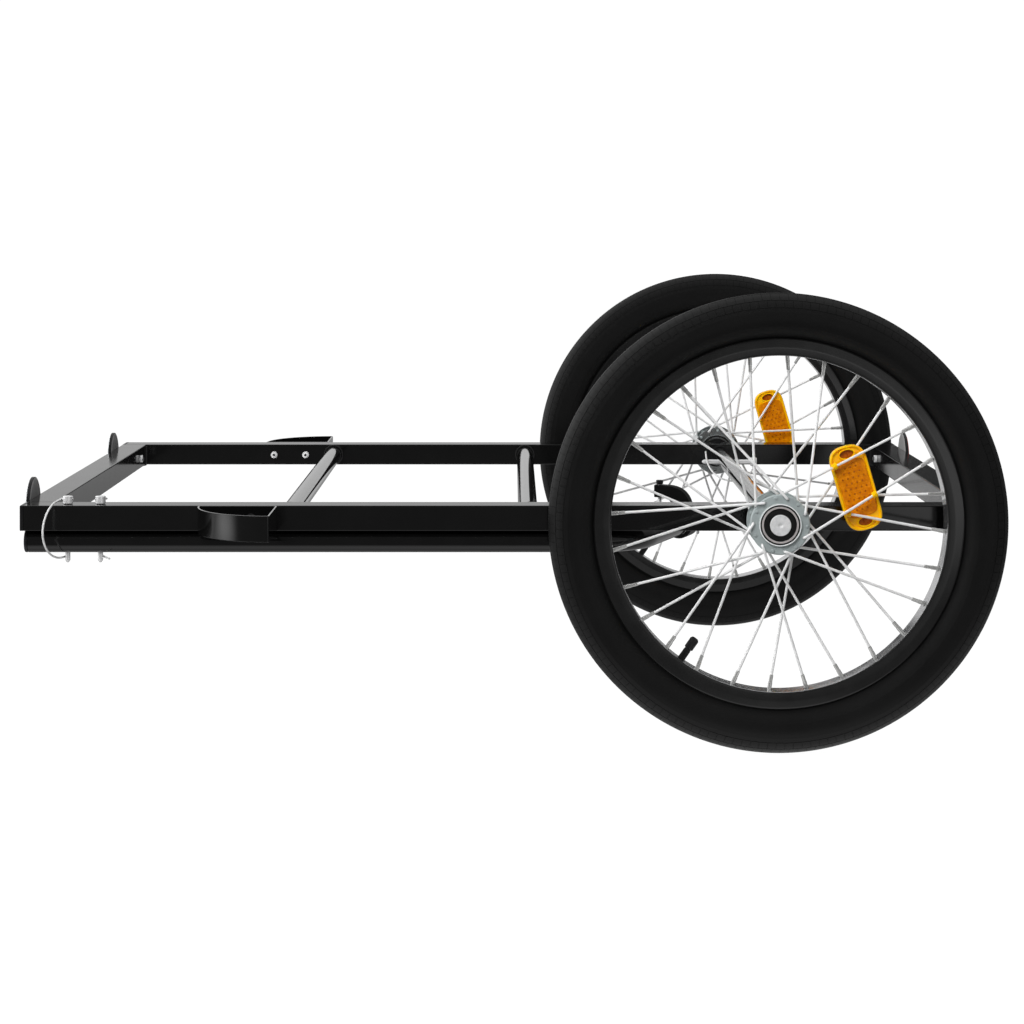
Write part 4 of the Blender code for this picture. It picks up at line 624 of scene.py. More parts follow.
def studioFloor():
    # pale paper: white to the camera but for a trace of shadow; lit from the left in reflections
    paper = bpy.data.materials.new("paleStudioPaper")
    paper.use_nodes = True
    tree = paper.node_tree
    tree.nodes.clear()
    place = addNode(tree, "ShaderNodeTexCoord").outputs["Object"]
    x, y = addNode(tree, "ShaderNodeSeparateXYZ", {0: place}).outputs[:2]
    grain = first(tree, "ShaderNodeTexNoise", {"Vector": place, "Scale": 6.0})
    tint = addNode(tree, "ShaderNodeMix", {"Factor": grain, 6: linear("#f6f6f5"), 7: linear("#fafaf9")},
                   data_type="RGBA")
    matt = first(tree, "ShaderNodeBsdfDiffuse", {"Color": tint.outputs[2]})
    glow = first(tree, "ShaderNodeEmission", {"Color": (1, 1, 1, 1), "Strength": floorLight["glow"]})
    shown = first(tree, "ShaderNodeMixShader", {0: floorLight["shadow"], 1: glow, 2: matt})
    away = addNode(tree, "ShaderNodeVectorMath", {0: place, 1: floorLight["patchPlace"]},
                   operation="DISTANCE").outputs["Value"]
    # the zones lie over each other in this order
    level = floorLight["front"]
    for name, along in (("frontRight", (x, y)), ("near", (y,)), ("under", (y,)), ("back", (y,)),
                        ("right", (x, y)), ("left", (x, y)), ("patch", (away,))):
        masks = [ease(tree, value, edges) for value, edges in zip(along, floorEdges[name])]
        mask = calc(tree, "MULTIPLY", *masks) if len(masks) > 1 else masks[0]
        light = floorLight.get(name)
        if name == "back":
            light = ease(tree, x, floorEdges["backSplit"], floorLight["backLeft"], floorLight["backRight"])
        level = blend(tree, mask, level, light)
    mirrored = first(tree, "ShaderNodeEmission", {"Strength": level})
    ray = addNode(tree, "ShaderNodeLightPath")
    ends = first(tree, "ShaderNodeMixShader", {0: ray.outputs["Is Camera Ray"], 1: mirrored, 2: shown})
    addNode(tree, "ShaderNodeOutputMaterial", {"Surface": ends})
    bm = bmesh.new()
    bmesh.ops.create_grid(bm, x_segments=1, y_segments=1, size=floorLight["half"])
    makeObject("studioFloor", bm, paper)


def buildStudio():
    camera = bpy.data.cameras.new("photoCamera")
    camera.lens, camera.sensor_width, camera.shift_y = view["lens"], view["sensor"], view["shift"]
    camera.clip_end = view["clip"]
    scene.camera = addItem("photoCamera", camera)
    scene.camera.location, scene.camera.rotation_euler = view["location"], (math.pi / 2, 0, 0)
    scene.view_settings.view_transform = "Standard"
    studioWorld()
    studioFloor()
    for name in ("topSoftbox", "frontSoftbox", "leftSoftbox"):
        place, size, power = lamps[name]
        light = bpy.data.lights.new(name, "AREA")
        light.size, light.energy = size, power
        lamp = addItem(name, light)
        lamp.location = place
        lamp.rotation_euler = (Vector(lamps["aim"]) - Vector(place)).to_track_quat("-Z", "Y").to_euler()
        lamp.visible_glossy = False


buildStudio()
print("camera and light ready")


# frame: rails, crossmembers, cross tubes and their welds

sideNames, endNames = (("left", -1), ("right", 1)), (("front", -1), ("rear", 1))
rails = {"halfLength": 0.4207, "centreY": 0.295, "z": 0.198, "width": 0.030, "height": 0.022, "wall": 0.0015,
         "corner": 0.0012, "innerCorner": 0.0006, "innerY": 0.280}
members = {"halfLength": 0.2797, "centreX": 0.411, "width": 0.026}
tubes = {"frontCross": {"x": -0.192, "radius": 0.00875, "wall": 0.0015, "half": 0.2797},
         "middleCross": {"x": 0.018, "radius": 0.00875, "wall": 0.0015, "half": 0.2797},
         "axle": {"x": 0.232, "radius": 0.008, "wall": 0.0016, "half": 0.3095}}
bores = {"bolt": 0.0028, "pin": 0.00275, "axlePlay": 0.0003, "reach": 0.03, "pinReach": 0.02}
pinHolesX, loopBoltsX = (-0.3846, -0.3560), (-0.257, -0.2226)
axlePinY, reflectorY = 0.200, 0.232
weld = {"spacing": 0.0014, "radius": 0.0017, "seed": 4, "offRail": 0.0006, "offTube": 0.0007,
        "offMember": 0.0002}
plug = {"x": 0.424, "head": 0.003, "stem": 0.015, "play": 0.0036, "stemCorner": 0.001,
        "dome": ((0.0, 0.0006), (0.0002, 0.0002), (0.0006, 0.0), (0.003, 0.0))}


def boxTube(bm, width, half, place):
    inner = boxOutline(width - 2 * rails["wall"], rails["height"] - 2 * rails["wall"], rails["innerCorner"])
    band(bm, boxOutline(width, rails["height"], rails["corner"]), inner, -half, half, place)


def buildFrame():
    z, reach = rails["z"], bores["reach"]
    for name, side in sideNames:
        y = side * rails["centreY"]
        bm = bmesh.new()
        boxTube(bm, rails["width"], rails["halfLength"], placeMatrix((0, y, z), -yAxis, xAxis, zAxis))
        rail = makeObject(name + "SideRail", bm, powderCoat)
        axle = tubes["axle"]
        holes = [through((axle["x"], y, z), yAxis, axle["radius"] + bores["axlePlay"], reach, 48)]
        holes += [through((x, y, z), yAxis, bores["bolt"], reach) for x in loopBoltsX]
        if side < 0:
            holes += [through((x, y, z), zAxis, bores["bolt"], reach) for x in pinHolesX]
        drill(rail, holes)
        finishPiece(rail, "chassis", name + "_side_rail")
    for name, end in endNames:
        x = end * members["centreX"]
        bm = bmesh.new()
        boxTube(bm, members["width"], members["halfLength"], placeMatrix((x, 0, z), xAxis, yAxis, zAxis))
        member = makeObject(name + "Crossmember", bm, powderCoat)
        drill(member, [through((x, side * reflectorY, z), xAxis, bores["bolt"], reach) for side in (-1, 1)])
        finishPiece(member, "chassis", name + "_crossmember")
    for name, size in tubes.items():
        radius, half, inner = size["radius"], size["half"], size["radius"] - size["wall"]
        bm = bmesh.new()
        turned(bm, [(radius, -half), (radius, half), (inner, half), (inner, -half)], 0.0003, 2,
               axisPlace((size["x"], 0, z), yAxis), 64, closed=True)
        tube = makeObject(name + "Tube", bm, tubeCoat)
        if name == "axle":
            drill(tube, [through((size["x"], side * axlePinY, z), xAxis, bores["pin"], bores["pinReach"])
                         for side in (-1, 1)])
        finishPiece(tube, "chassis", name.replace("Cross", "_cross") + "_tube")


def buildWelds():
    # seams where tubes and crossmembers meet the rails, just off the rail's inner face
    rounds, corners, z = [], [], rails["z"]
    a, b = members["width"] / 2, rails["height"] / 2
    for side in (-1, 1):
        y = side * (rails["innerY"] - weld["offRail"])
        for tube in tubes.values():
            spots = [circle(tube["radius"] + weld["offTube"], math.tau * k / 48) for k in range(48)]
            rounds.append([(tube["x"] + across, y, z + up) for across, up in spots])
        for end in (-1, 1):
            # the outer face and top are ground flush; beads stay on the inner and lower sides
            x = end * members["centreX"]
            inward = x - end * (a + weld["offMember"])
            corners.append([(inward, y, z + b - 0.003), (inward, y, z - b + 0.001),
                            (x - end * (a - 0.001), y, z - b), (x + end * (a - 0.004), y, z - b)])
    for k, (name, seams) in enumerate((("frameWelds", rounds), ("crossmemberWelds", corners))):
        item = growNodes(linesObject(name, seams, powderCoat, closed=k == 0), weldBeads,
                         {"Bead spacing": weld["spacing"], "Bead radius": weld["radius"],
                          "Seed": weld["seed"] + k, "Material": powderCoat})
        finishPiece(item, "chassis")


def buildRailPlugs():
    # moulded plugs with a domed head, and a stem inside the tube
    outline = boxOutline(rails["width"], rails["height"], rails["corner"], 5)
    stem = boxOutline(rails["width"] - plug["play"], rails["height"] - plug["play"], plug["stemCorner"], 5)
    for endName, end in endNames:
        for sideName, side in sideNames:
            spot = (end * plug["x"], side * rails["centreY"], rails["z"])
            place = placeMatrix(spot, yAxis * end, -xAxis * end, zAxis)
            bm = bmesh.new()
            slab(bm, outline, plug["dome"], place)
            slab(bm, stem, ((plug["head"] - 0.0002, 0.0), (plug["stem"], 0.0)), place)
            makePiece(f"{endName}{sideName.title()}RailPlug", bm, mouldedPlastic, "chassis",
                      f"{endName}_{sideName}_rail_plug", sharp=30)


buildFrame()
buildWelds()
buildRailPlugs()
print("frame ready")


# strap loops with their bolts

loops = {"frontX": -0.2687, "length": 0.0687, "reach": 0.077, "thickness": 0.0015, "height": 0.022,
         "edge": 0.0004, "bend": 0.0035, "faceY": 0.3103, "steps": 40}
bolt = {"y": 0.310, "shank": 0.0024, "shankEnd": -0.0303, "head": 0.0046, "headFrom": 0.0021,
        "headHigh": 0.0027, "skirt": 0.0006, "socket": 0.0014, "socketDeep": 0.0018,
        "tip": (-0.0358, -0.0350), "nut": (0.0080, 0.004, -0.0343), "thread": (-0.0356, -0.0343)}


def sheetStrip(bm, line, section):
    # a strip of sheet standing on edge along a closed line in plan
    rings = []
    for before, point, after in zip(line[-1:] + line, line, line[1:] + line[:1]):
        way = (point - before).normalized() + (after - point).normalized()
        across = Vector((-way.y, way.x, 0)).normalized()
        rings.append([bm.verts.new(point + across * s[0] + zAxis * s[1]) for s in section])
    skin(bm, rings, closed=True)


def buildStrapLoops():
    half, length, reach, steps = loops["thickness"] / 2, loops["length"], loops["reach"], loops["steps"]
    section = boxOutline(loops["thickness"], loops["height"], loops["edge"], 2)
    rearX = loops["frontX"] + length
    arc = [(rearX - (length - half) * math.cos(a), (reach - half) * math.sin(a))
           for a in (math.pi / 2 * k / steps for k in range(1, steps))]
    corners = [(loops["frontX"] + half, half)] + arc + [(rearX - half, reach - half), (rearX - half, half)]
    bent = []
    for before, corner, after in zip(corners[-1:] + corners, corners, corners[1:] + corners[:1]):
        bend = rounded([before, corner, after], loops["bend"], 6, closed=False)[1:-1]
        bent += [Vector(corner)] if corner in arc else bend
    for name, side in sideNames:
        bm = bmesh.new()
        sheetStrip(bm, [Vector((p.x, side * (loops["faceY"] + p.y), rails["z"])) for p in bent], section)
        loop = makeObject(name + "StrapLoop", bm, powderCoat)
        drill(loop, [(axisPlace((x, side * loops["faceY"], rails["z"]), yAxis * side), bores["bolt"], -0.002,
                      0.004, 24) for x in loopBoltsX])
        # the sheet's upper edge, where the coat lies thick and bright
        paint(loop, tubeCoat, lambda face: face.normal.z > 0.5)
        finishPiece(loop, "chassis", name + "_strap_loop")


def hexNut(bm, place, across, thickness, low):
    # a nut with both faces chamfered to a circle
    corner = across / 2
    hexagon = rounded([circle(corner, math.tau * k / 6) for k in range(6)], corner * 0.3, 3)
    rings = []
    for level, most in ((0, 0.90), (0.18, 1.0), (0.82, 1.0), (1, 0.90)):
        spots = [(p.x / p.length, p.y / p.length, min(p.length, corner * most)) for p in hexagon]
        rings.append([bm.verts.new(place @ Vector((x * size, low + thickness * level, z * size)))
                      for x, z, size in spots])
    skin(bm, rings, caps=True)


def threadedEnd(bm, place, radius, start, end, turns):
    # the stub of bolt past its nut, with rolled thread shown as fine rings
    length = end - start
    profile = [(0, start)]
    for k in range(turns):
        low = start + length * k / turns
        profile += [(radius * 0.86, low), (radius, low + length * 0.5 / turns)]
    profile += [(radius * 0.8, end - length * 0.04), (radius * 0.6, end), (0, end)]
    revolve(bm, profile, place, 20, closed=False)


def buildLoopBolts():
    # a domed head with a socket in it
    r, low, high, socket = bolt["head"], bolt["headFrom"], bolt["headFrom"] + bolt["headHigh"], bolt["socket"]
    floor = high - bolt["socketDeep"]
    dome = [(r * math.cos(a), low + bolt["skirt"] + (high - low - bolt["skirt"]) * math.sin(a))
            for a in (math.radians(10 * k) for k in range(6))]
    profile = [(0, floor), (socket, floor), (socket, dome[-1][1]), (0.0018, high - 0.0002)] + dome[::-1]
    profile += [(r, low), (bolt["shank"], low), (bolt["shank"], bolt["shankEnd"]), (0, bolt["shankEnd"])]
    for sideName, side in sideNames:
        for placeName, x in zip(("front", "rear"), loopBoltsX):
            place = placeMatrix((x, side * bolt["y"], rails["z"]), xAxis, yAxis * side, zAxis)
            label = sideName + placeName.title() + "Loop"
            bm = bmesh.new()
            revolve(bm, profile, place, 36, closed=False)
            threadedEnd(bm, place, socket, *bolt["tip"], 1)
            makePiece(label + "Bolt", bm, powderCoat, "chassis", f"{sideName}_strap_loop_{placeName}_bolt",
                      slot="zinc_plated_steel")
            bm = bmesh.new()
            hexNut(bm, place, *bolt["nut"])
            threadedEnd(bm, place, bolt["shank"], *bolt["thread"], 3)
            makePiece(label + "Nut", bm, zincPlated, "chassis")


buildStrapLoops()
buildLoopBolts()
print("strap loops ready")


# end reflectors

reflector = {"x": 0.4243, "radius": 0.028, "wall": 0.0016, "depth": 0.0036, "stud": 0.0024,
             "studEnd": -0.0296, "thread": (0.0025, -0.0306, -0.0294, 2), "nut": (0.0086, 0.003, -0.0296),
             "play": 0.0003, "domeShare": 0.9, "domeFoot": 0.0040, "domeHigh": 0.0020}
prism = {"pitch": 0.0026, "radius": 0.0013, "share": 0.86, "foot": 0.0044, "high": 0.0016, "sunk": 0.0006}


def buildEndReflectors():
    radius, wall, depth, stud = (reflector[key] for key in ("radius", "wall", "depth", "stud"))
    cup = radius - wall
    lens = cup - reflector["play"]
    # cup with a rolled rim, a raised ring on its back, and the moulded stud
    back = rounded([(cup, wall), (cup, depth), (radius, depth + 0.0002), (radius, 0.0008),
                    (radius - 0.002, 0.0), (0.0115, 0.0), (0.0108, -0.0001), (stud, 0.0)], 0.0004, 3,
                   closed=False)
    cupLine = [(0, wall)] + back + [(stud, reflector["studEnd"]), (0, reflector["studEnd"])]
    # lens: a shallow dome inside a smooth outer ring
    edge, foot = reflector["domeShare"], reflector["domeFoot"]
    dome = [(r, foot + reflector["domeHigh"] * (1 - (r / lens) ** 2))
            for r in (lens * edge * k / 8 for k in range(9))]
    lensLine = [(0, 0.0019), (lens, 0.0019), (lens, 0.0038), (lens - 0.0004, 0.0046), (lens * 0.93, 0.0047),
                (lens * edge, foot)] + dome[-2::-1]
    for (endName, end), glass in zip(endNames, (clearLens, redLens)):
        for sideName, side in sideNames:
            label, node = f"{endName}{sideName.title()}Reflector", f"{endName}_{sideName}_reflector"
            place = axisPlace((end * reflector["x"], side * reflectorY, rails["z"]), xAxis * end)
            bm = bmesh.new()
            revolve(bm, cupLine, place, 72, closed=False)
            threadedEnd(bm, place, *reflector["thread"])
            item = makeObject(label + "Cup", bm, mouldedPlastic)
            # the cup's back faces are painted light grey: painted reflection
            paint(item, cupBackPaintedReflection, lambda face: face.normal.x * end < -0.9 and face.area > 1e-7)
            finishPiece(item, "chassis", node + "_housing")
            bm = bmesh.new()
            hexNut(bm, place, *reflector["nut"])
            makePiece(label + "Nut", bm, zincPlated, "chassis")
            bm = bmesh.new()
            revolve(bm, lensLine, place, 72, closed=False)
            makePiece(label + "Lens", bm, glass, "chassis", node + "_lens")
            domes = {"Pitch": prism["pitch"], "Half length": 0.0, "Radius": lens * prism["share"],
                     "Dome radius": prism["radius"]}
            prismPiece(label + "Prisms", domes, glass, "chassis", place,
                       lambda p: p.y + (prism["foot"] - prism["sunk"]
                                        + prism["high"] * (1 - (math.hypot(p.x, p.z) / lens) ** 2)))


buildEndReflectors()
print("end reflectors ready")


# drawbar and hitch

drawbar = {"radius": 0.010, "bore": 0.008, "cornerX": 0.1112, "y": -0.295, "z": 0.1767, "bend": 69.2,
           "bendRadius": 0.055, "steps": 32, "leg": 0.125, "headX": -0.4183, "plugX": -0.4216,
           "plug": ((0, 0), (0.0100, 0.0), (0.0100, 0.003), (0.0074, 0.003), (0.0074, 0.017), (0, 0.017))}
# pieces on the drawbar's leg: distances are from the corner of the drawbar, lines are (radius, distance)
hitch = {"bore": 0.0053, "bushFrom": 0.103, "bush": 0.0074, "lipFrom": 0.1253, "lip": 0.0100,
         "bushTo": 0.1283, "shaft": 0.005, "shaftFrom": 0.095, "shaftTo": 0.205, "clawFrom": 0.1286,
         "clawThick": 0.024, "sleeveFrom": 0.1529, "sleeveTo": 0.1899, "waist": 0.0071, "rib": 0.0013,
         "ribs": 4, "crossAt": 0.1917, "crossBore": 0.0018,
         "crossPin": ((0, -0.0165), (0.0009, -0.0165), (0.0015, -0.0155), (0.0015, 0.0107), (0.0028, 0.0107),
                      (0.0028, 0.0126), (0.0016, 0.0135), (0, 0.0135))}
claw = {"ring": 0.0135, "jaw": 0.0255, "jawThick": 0.011, "jawEdge": 0.0010, "pinAt": 0.0215, "top": 0.0343,
        "under": 0.023, "floor": 0.004, "low": -0.006, "backFrom": -0.0155, "backDeep": 0.0074,
        "archFrom": -0.0174, "archReach": 0.0101, "archFoot": 0.0068, "archPower": 2.6, "steps": 24,
        "pinBore": 0.0021, "pin": 0.0017, "pinFrom": -0.004, "knob": 0.0033, "knobHigh": 0.0035}
bend = math.radians(drawbar["bend"])
legWay = Vector((math.cos(bend), math.sin(bend), 0))
legCorner = Vector((drawbar["cornerX"], drawbar["y"], drawbar["z"]))


def legPlace(distance):
    return placeMatrix(legCorner + legWay * distance, legWay.cross(zAxis), legWay, zAxis)


def buildDrawbar():
    y, z, radius, steps = drawbar["y"], drawbar["z"], drawbar["bendRadius"], drawbar["steps"]
    startX = drawbar["cornerX"] - radius * math.tan(bend / 2)
    points = [Vector((drawbar["headX"], y, z))]
    for a in (bend * k / steps for k in range(steps + 1)):
        points.append(Vector((startX + radius * math.sin(a), y + radius * (1 - math.cos(a)), z)))
    points.append(legCorner + legWay * drawbar["leg"])
    bm = bmesh.new()
    sweep(bm, points, drawbar["radius"], 48, drawbar["bore"])
    bar = makeObject("drawbarTube", bm, powderCoat)
    drill(bar, [through((x, y, z), zAxis, bores["pin"], bores["pinReach"]) for x in pinHolesX])
    finishPiece(bar, "chassis", "drawbar_tube")
    place = axisPlace((drawbar["plugX"], y, z), xAxis)
    turnedPiece("drawbarEndPlug", drawbar["plug"], (0.0012, 5), place, 48, mouldedPlastic, "chassis",
                "drawbar_end_plug")


def clawOutline():
    # half an ellipse backs the mouth, and a fuller quarter curve arches over it
    jaw, floor, under, top, steps = claw["jaw"], claw["floor"], claw["under"], claw["top"], claw["steps"]
    points = [(-jaw, claw["low"]), (-jaw, floor)]
    for a in (math.pi * (k / steps - 0.5) for k in range(steps + 1)):
        points.append((claw["backFrom"] + claw["backDeep"] * math.cos(a),
                       (floor + under + (under - floor) * math.sin(a)) / 2))
    points += [(-jaw, under), (-jaw, top + 0.0004)]
    for a in (math.pi / 2 * (1 - k / steps) for k in range(steps + 1)):
        forward, upward = (max(v, 0.0) ** (2 / claw["archPower"]) for v in (math.cos(a), math.sin(a)))
        points.append((claw["archFrom"] + (claw["archReach"] - claw["archFrom"]) * forward,
                       claw["archFoot"] + (top - claw["archFoot"]) * upward))
    return points + [(claw["ring"] / 2, 0), (-claw["ring"] / 2, -claw["ring"] / 2)]


def buildHitch():
    bore, bush, lip, start, to = (hitch[key] for key in ("bore", "bush", "lip", "bushFrom", "bushTo"))
    edge = hitch["lipFrom"]
    line = [(bore, start), (bush, start), (bush, edge), (lip, edge), (lip, to), (bore, to)]
    turnedPiece("hitchEndBush", line, (0.0005, 3), legPlace(0), 48, zincPlated, "chassis", "hitch_end_bush",
                closed=True)
    shaft, start, to = hitch["shaft"], hitch["shaftFrom"], hitch["shaftTo"]
    bm = bmesh.new()
    turned(bm, [(0, start), (shaft, start), (shaft, to), (0, to)], 0.0010, 3, legPlace(0), 48)
    item = makeObject("hitchSwivelShaft", bm, zincPlated)
    crossSpot = legCorner + legWay * hitch["crossAt"]
    drill(item, [through(crossSpot, zAxis, hitch["crossBore"], 0.01, 20)])
    finishPiece(item, "chassis", "hitch_swivel_shaft")
    # rubber sleeve: soft ribs and a waist
    start, to = hitch["sleeveFrom"], hitch["sleeveTo"]
    line = [(hitch["waist"] + hitch["rib"] * (0.5 + 0.5 * math.cos(t * hitch["ribs"] * math.tau)) ** 0.7,
             start + t * (to - start)) for t in (k / 60 for k in range(61))]
    bm = bmesh.new()
    revolve(bm, [(bore, start)] + line + [(bore, to)], legPlace(0), 48)
    makePiece("hitchRubberSleeve", bm, softRubber, "chassis", "hitch_rubber_sleeve")
    turnedPiece("hitchCrossPin", hitch["crossPin"], (0.0005, 3), axisPlace(crossSpot, zAxis), 28, zincPlated,
                "hitch_cross_pin", "hitch_cross_pin")
    # claw: collar and jaws in one forging, made upright and then laid on the leg
    ring, thick, halfJaw = claw["ring"], hitch["clawThick"], claw["jawThick"] / 2
    middle = thick / 2
    bm = bmesh.new()
    turned(bm, [(0, 0), (ring, 0), (ring, thick), (0, thick)], 0.0014, 4, upright, 64)
    item = makeObject("hitchClaw", bm, castCoat)
    bm = bmesh.new()
    scaledStack(bm, clawOutline(), ((middle - halfJaw, 1), (middle + halfJaw, 1)), upright)
    jaws = makeObject("hitchJaws", bm, castCoat)
    bevel = jaws.modifiers.new("bevel", "BEVEL")
    bevel.width, bevel.segments, bevel.angle_limit = claw["jawEdge"], 3, math.radians(70)
    settle(jaws)
    combine(item, jaws, "UNION")
    pinPlace = axisPlace((-claw["pinAt"], middle, 0), zAxis)
    drill(item, [(upright, bore, -0.01, 0.04, 48), (pinPlace, claw["pinBore"], -0.02, 0.05, 24)])
    item.data.transform(legPlace(hitch["clawFrom"]))
    finishPiece(item, "hitch_claw", "hitch_claw")
    pinPlace = legPlace(hitch["clawFrom"]) @ pinPlace
    foot, pin, knob, low = claw["pinFrom"], claw["pin"], claw["knob"], claw["top"] + 0.0008
    line = [(0, foot), (0.0009, foot), (pin, -0.0028), (pin, low), (0, low)]
    turnedPiece("hitchLockPin", line, (0.0006, 3), pinPlace, 32, zincPlated, "hitch_lock_pin",
                "hitch_lock_pin")
    high = low + claw["knobHigh"]
    line = [(0, low), (knob, low), (knob, high), (0, high)]
    turnedPiece("hitchLockPinKnob", line, (0.0004, 3), pinPlace, 32, mouldedPlastic, "hitch_lock_pin")


buildDrawbar()
buildHitch()
print("drawbar and hitch ready")


# spring-bow lock pins

lockPin = {"radius": 0.00225, "length": 0.0515, "head": 0.0045, "headTop": -0.0025, "headFoot": 0.004,
           "bore": 0.0013, "outX": 0.2622, "topZ": 0.2133}
bow = {"wire": 0.0009, "reach": 0.0445, "half": 0.0255, "hook": 0.0129, "atHead": 0.0060, "atTip": 0.0039,
       "start": 20.0, "far": -0.0050, "elbow": 0.0022, "steps": 36}
# how far the bows are turned from straight out, forward, rearward and down
bowTurns = {"frontDrawbar": 12, "rearDrawbar": 27, "axle": 28}


def lockPinPlaces():
    # label, node, hinge, the pin's way and the bow's way
    front, rear, drop = (math.radians(turn) for turn in bowTurns.values())
    hinges = [(x, drawbar["y"], lockPin["topZ"]) for x in pinHolesX]
    spots = [("frontDrawbar", "front_drawbar", hinges[0], -zAxis, (-math.sin(front), -math.cos(front), 0)),
             ("rearDrawbar", "rear_drawbar", hinges[1], -zAxis, (-math.sin(rear), math.cos(rear), 0))]
    return spots + [(name + "Axle", name + "_axle", (lockPin["outX"], side * axlePinY, rails["z"]), -xAxis,
                     (0, -side * math.cos(drop), -math.sin(drop))) for name, side in sideNames]


def buildLockPins():
    r, head, top, foot = (lockPin[key] for key in ("radius", "head", "headTop", "headFoot"))
    tip, start, steps = foot + lockPin["length"], math.radians(bow["start"]), bow["steps"]
    points = [Vector((0, bow["far"], 0)), Vector((0, bow["atHead"], 0))]
    for share in (k / steps for k in range(steps + 1)):
        a, along = start + share * (math.pi - start), bow["atHead"] + share * (bow["atTip"] - bow["atHead"])
        points.append(Vector((bow["reach"] * math.sin(a), along, bow["half"] * (1 - math.cos(a)))))
    points.append(Vector((-bow["hook"], bow["atTip"], 2 * bow["half"])))
    line = rounded(points[:3], bow["elbow"], 5, closed=False)[:-1] + points[2:]
    pinLine = [(0, top), (head, top), (head, foot), (r, foot), (r, tip - 0.002), (r * 0.35, tip), (0, tip)]
    for label, node, hinge, pinWay, bowWay in lockPinPlaces():
        x = Vector(bowWay).normalized()
        place = placeMatrix(hinge, x, pinWay.cross(x), pinWay)
        bm = bmesh.new()
        turned(bm, pinLine, 0.0005, 3, Matrix.Rotation(math.pi / 2, 4, "X"), 40)
        pin = makeObject(label + "LockPin", bm, pinZinc)
        drill(pin, [(upright, lockPin["bore"], -0.01, 0.01, 20)])
        pin.data.transform(place)
        finishPiece(pin, node + "_pin", node + "_lock_pin")
        wirePiece(label + "PinBow", [[place @ p for p in line]], bow["wire"], 16, springWire, node + "_bow",
                  node + "_pin_bow")


buildLockPins()
print("lock pins ready")


# wheels

wheel = {"planeY": 0.340, "rimRadius": 0.158, "rimHalf": 0.0125, "bed": 0.1435, "bedThick": 0.003,
         "rimWall": 0.0018, "spokeHole": 0.0026, "valveHole": 0.0038}
tyre = {"centre": 0.1768, "high": 0.0200, "half": 0.0226, "innerHigh": 0.0164, "innerHalf": 0.0194,
        "lines": (12, -22), "lineHigh": 0.0002, "beadOuter": 0.1585, "beadInner": 0.1515, "beadTop": 0.161,
        "beadThick": 0.002, "crown": 0.1932}
tread = {"pitches": 160, "high": 0.0003, "deep": -0.0003, "fill": 0.494, "taper": 0.03, "steps": 4,
         "rows": ((-66, -46), (-44.5, -15), (-13.5, 13.5), (15, 44.5), (46, 66))}
hub = {"half": 0.0195, "flange": 0.0258, "face": 0.017, "thick": 0.003, "boss": 0.0182, "barrel": 0.0165,
       "bearing": 0.014, "holeCircle": 0.0229, "hole": 0.0014}
lacing = {"perFlange": 14, "outerFirst": 22.6, "innerFirst": 9.75, "cross": 2, "swapped": ((1, 3), (-1, 13)),
          "wire": 0.00116, "offCentre": 0.0015, "gap": 0.0003, "halfWire": 0.001, "head": 0.0009,
          "elbow": 0.0030}
spokeHead = ((0, -0.0004), (0.00105, -0.0004), (0.0016, 0.0), (0.0013, 0.0005), (0, 0.0006))
# the nipple's squared shank as (distance, size), and its head
nipple = {"width": 0.0034, "corner": 0.0014,
          "shank": ((-0.0140, 0.74), (-0.0136, 0.84), (-0.0128, 0.88), (-0.0080, 0.88), (-0.0076, 1.0),
                    (-0.0020, 1.0), (-0.0016, 1.05), (0.0012, 1.05)),
          "head": ((0, 0.0014), (0.0031, 0.0014), (0.0031, 0.0022), (0.0020, 0.0030), (0, 0.0032))}
stub = {"cap": 0.009, "capTo": 0.0220, "capFrom": 0.0198, "shaft": 0.006, "collarTo": -0.0297, "end": -0.150,
        "pinAt": -0.140}
valve = {"angle": 234.5, "tip": 0.1217, "capTo": 0.1327, "cap": 0.004, "ribs": 20, "groove": 0.93,
         "stem": ((0, 0.1320), (0.0026, 0.1320), (0.0031, 0.1345), (0.0032, 0.1425), (0.0034, 0.1600),
                  (0, 0.1600))}
innerTube = {"radius": 0.0150, "half": 0.0165, "narrowBelow": 0.166, "narrow": 0.55}


def wheelPlace(side):
    return placeMatrix((tubes["axle"]["x"], side * wheel["planeY"], rails["z"]), xAxis, yAxis * side, zAxis)


def wheelPoint(radius, angle, across):
    return Vector((radius * math.cos(angle), across, radius * math.sin(angle)))


valveWay = wheelPoint(1, math.radians(valve["angle"]), 0)


def tyrePoint(degrees, lift=0.0):
    # a point of the tyre's section: 90 at the crown, 0 at the widest, below 0 towards the bead
    a = math.radians(degrees)
    return tyre["centre"] + (tyre["high"] + lift) * math.sin(a), (tyre["half"] + lift) * math.cos(a)


def treadPitch(bm):
    # one pitch of tread: a row of blocks across, the outer ones wrapping onto the shoulder
    pitch, steps = math.tau / tread["pitches"], tread["steps"]
    for row, (low, high) in enumerate(tread["rows"]):
        middle = 0.5 * pitch if row % 2 else 0.0
        tops, feet = [], []
        for off in (low + (high - low) * k / steps for k in range(steps + 1)):
            for level, taper, store in ((tread["high"], tread["taper"], tops), (tread["deep"], 0.0, feet)):
                radius, across = tyrePoint(90 - abs(off), level)
                for edge in (-1, 1):
                    x, z = circle(radius, middle + edge * pitch * (tread["fill"] - taper))
                    store.append(bm.verts.new((x, across if off >= 0 else -across, z)))
        for k in range(0, 2 * steps, 2):
            (a, b, d, c), (e, f, h, g) = tops[k:k + 4], feet[k:k + 4]
            for corners in ((a, b, c, d), (e, f, g, h), (a, d, h, e), (b, c, g, f)):
                bm.faces.new(corners)
        bm.faces.new((tops[0], tops[1], feet[1], feet[0]))
        bm.faces.new((tops[-2], tops[-1], feet[-1], feet[-2]))


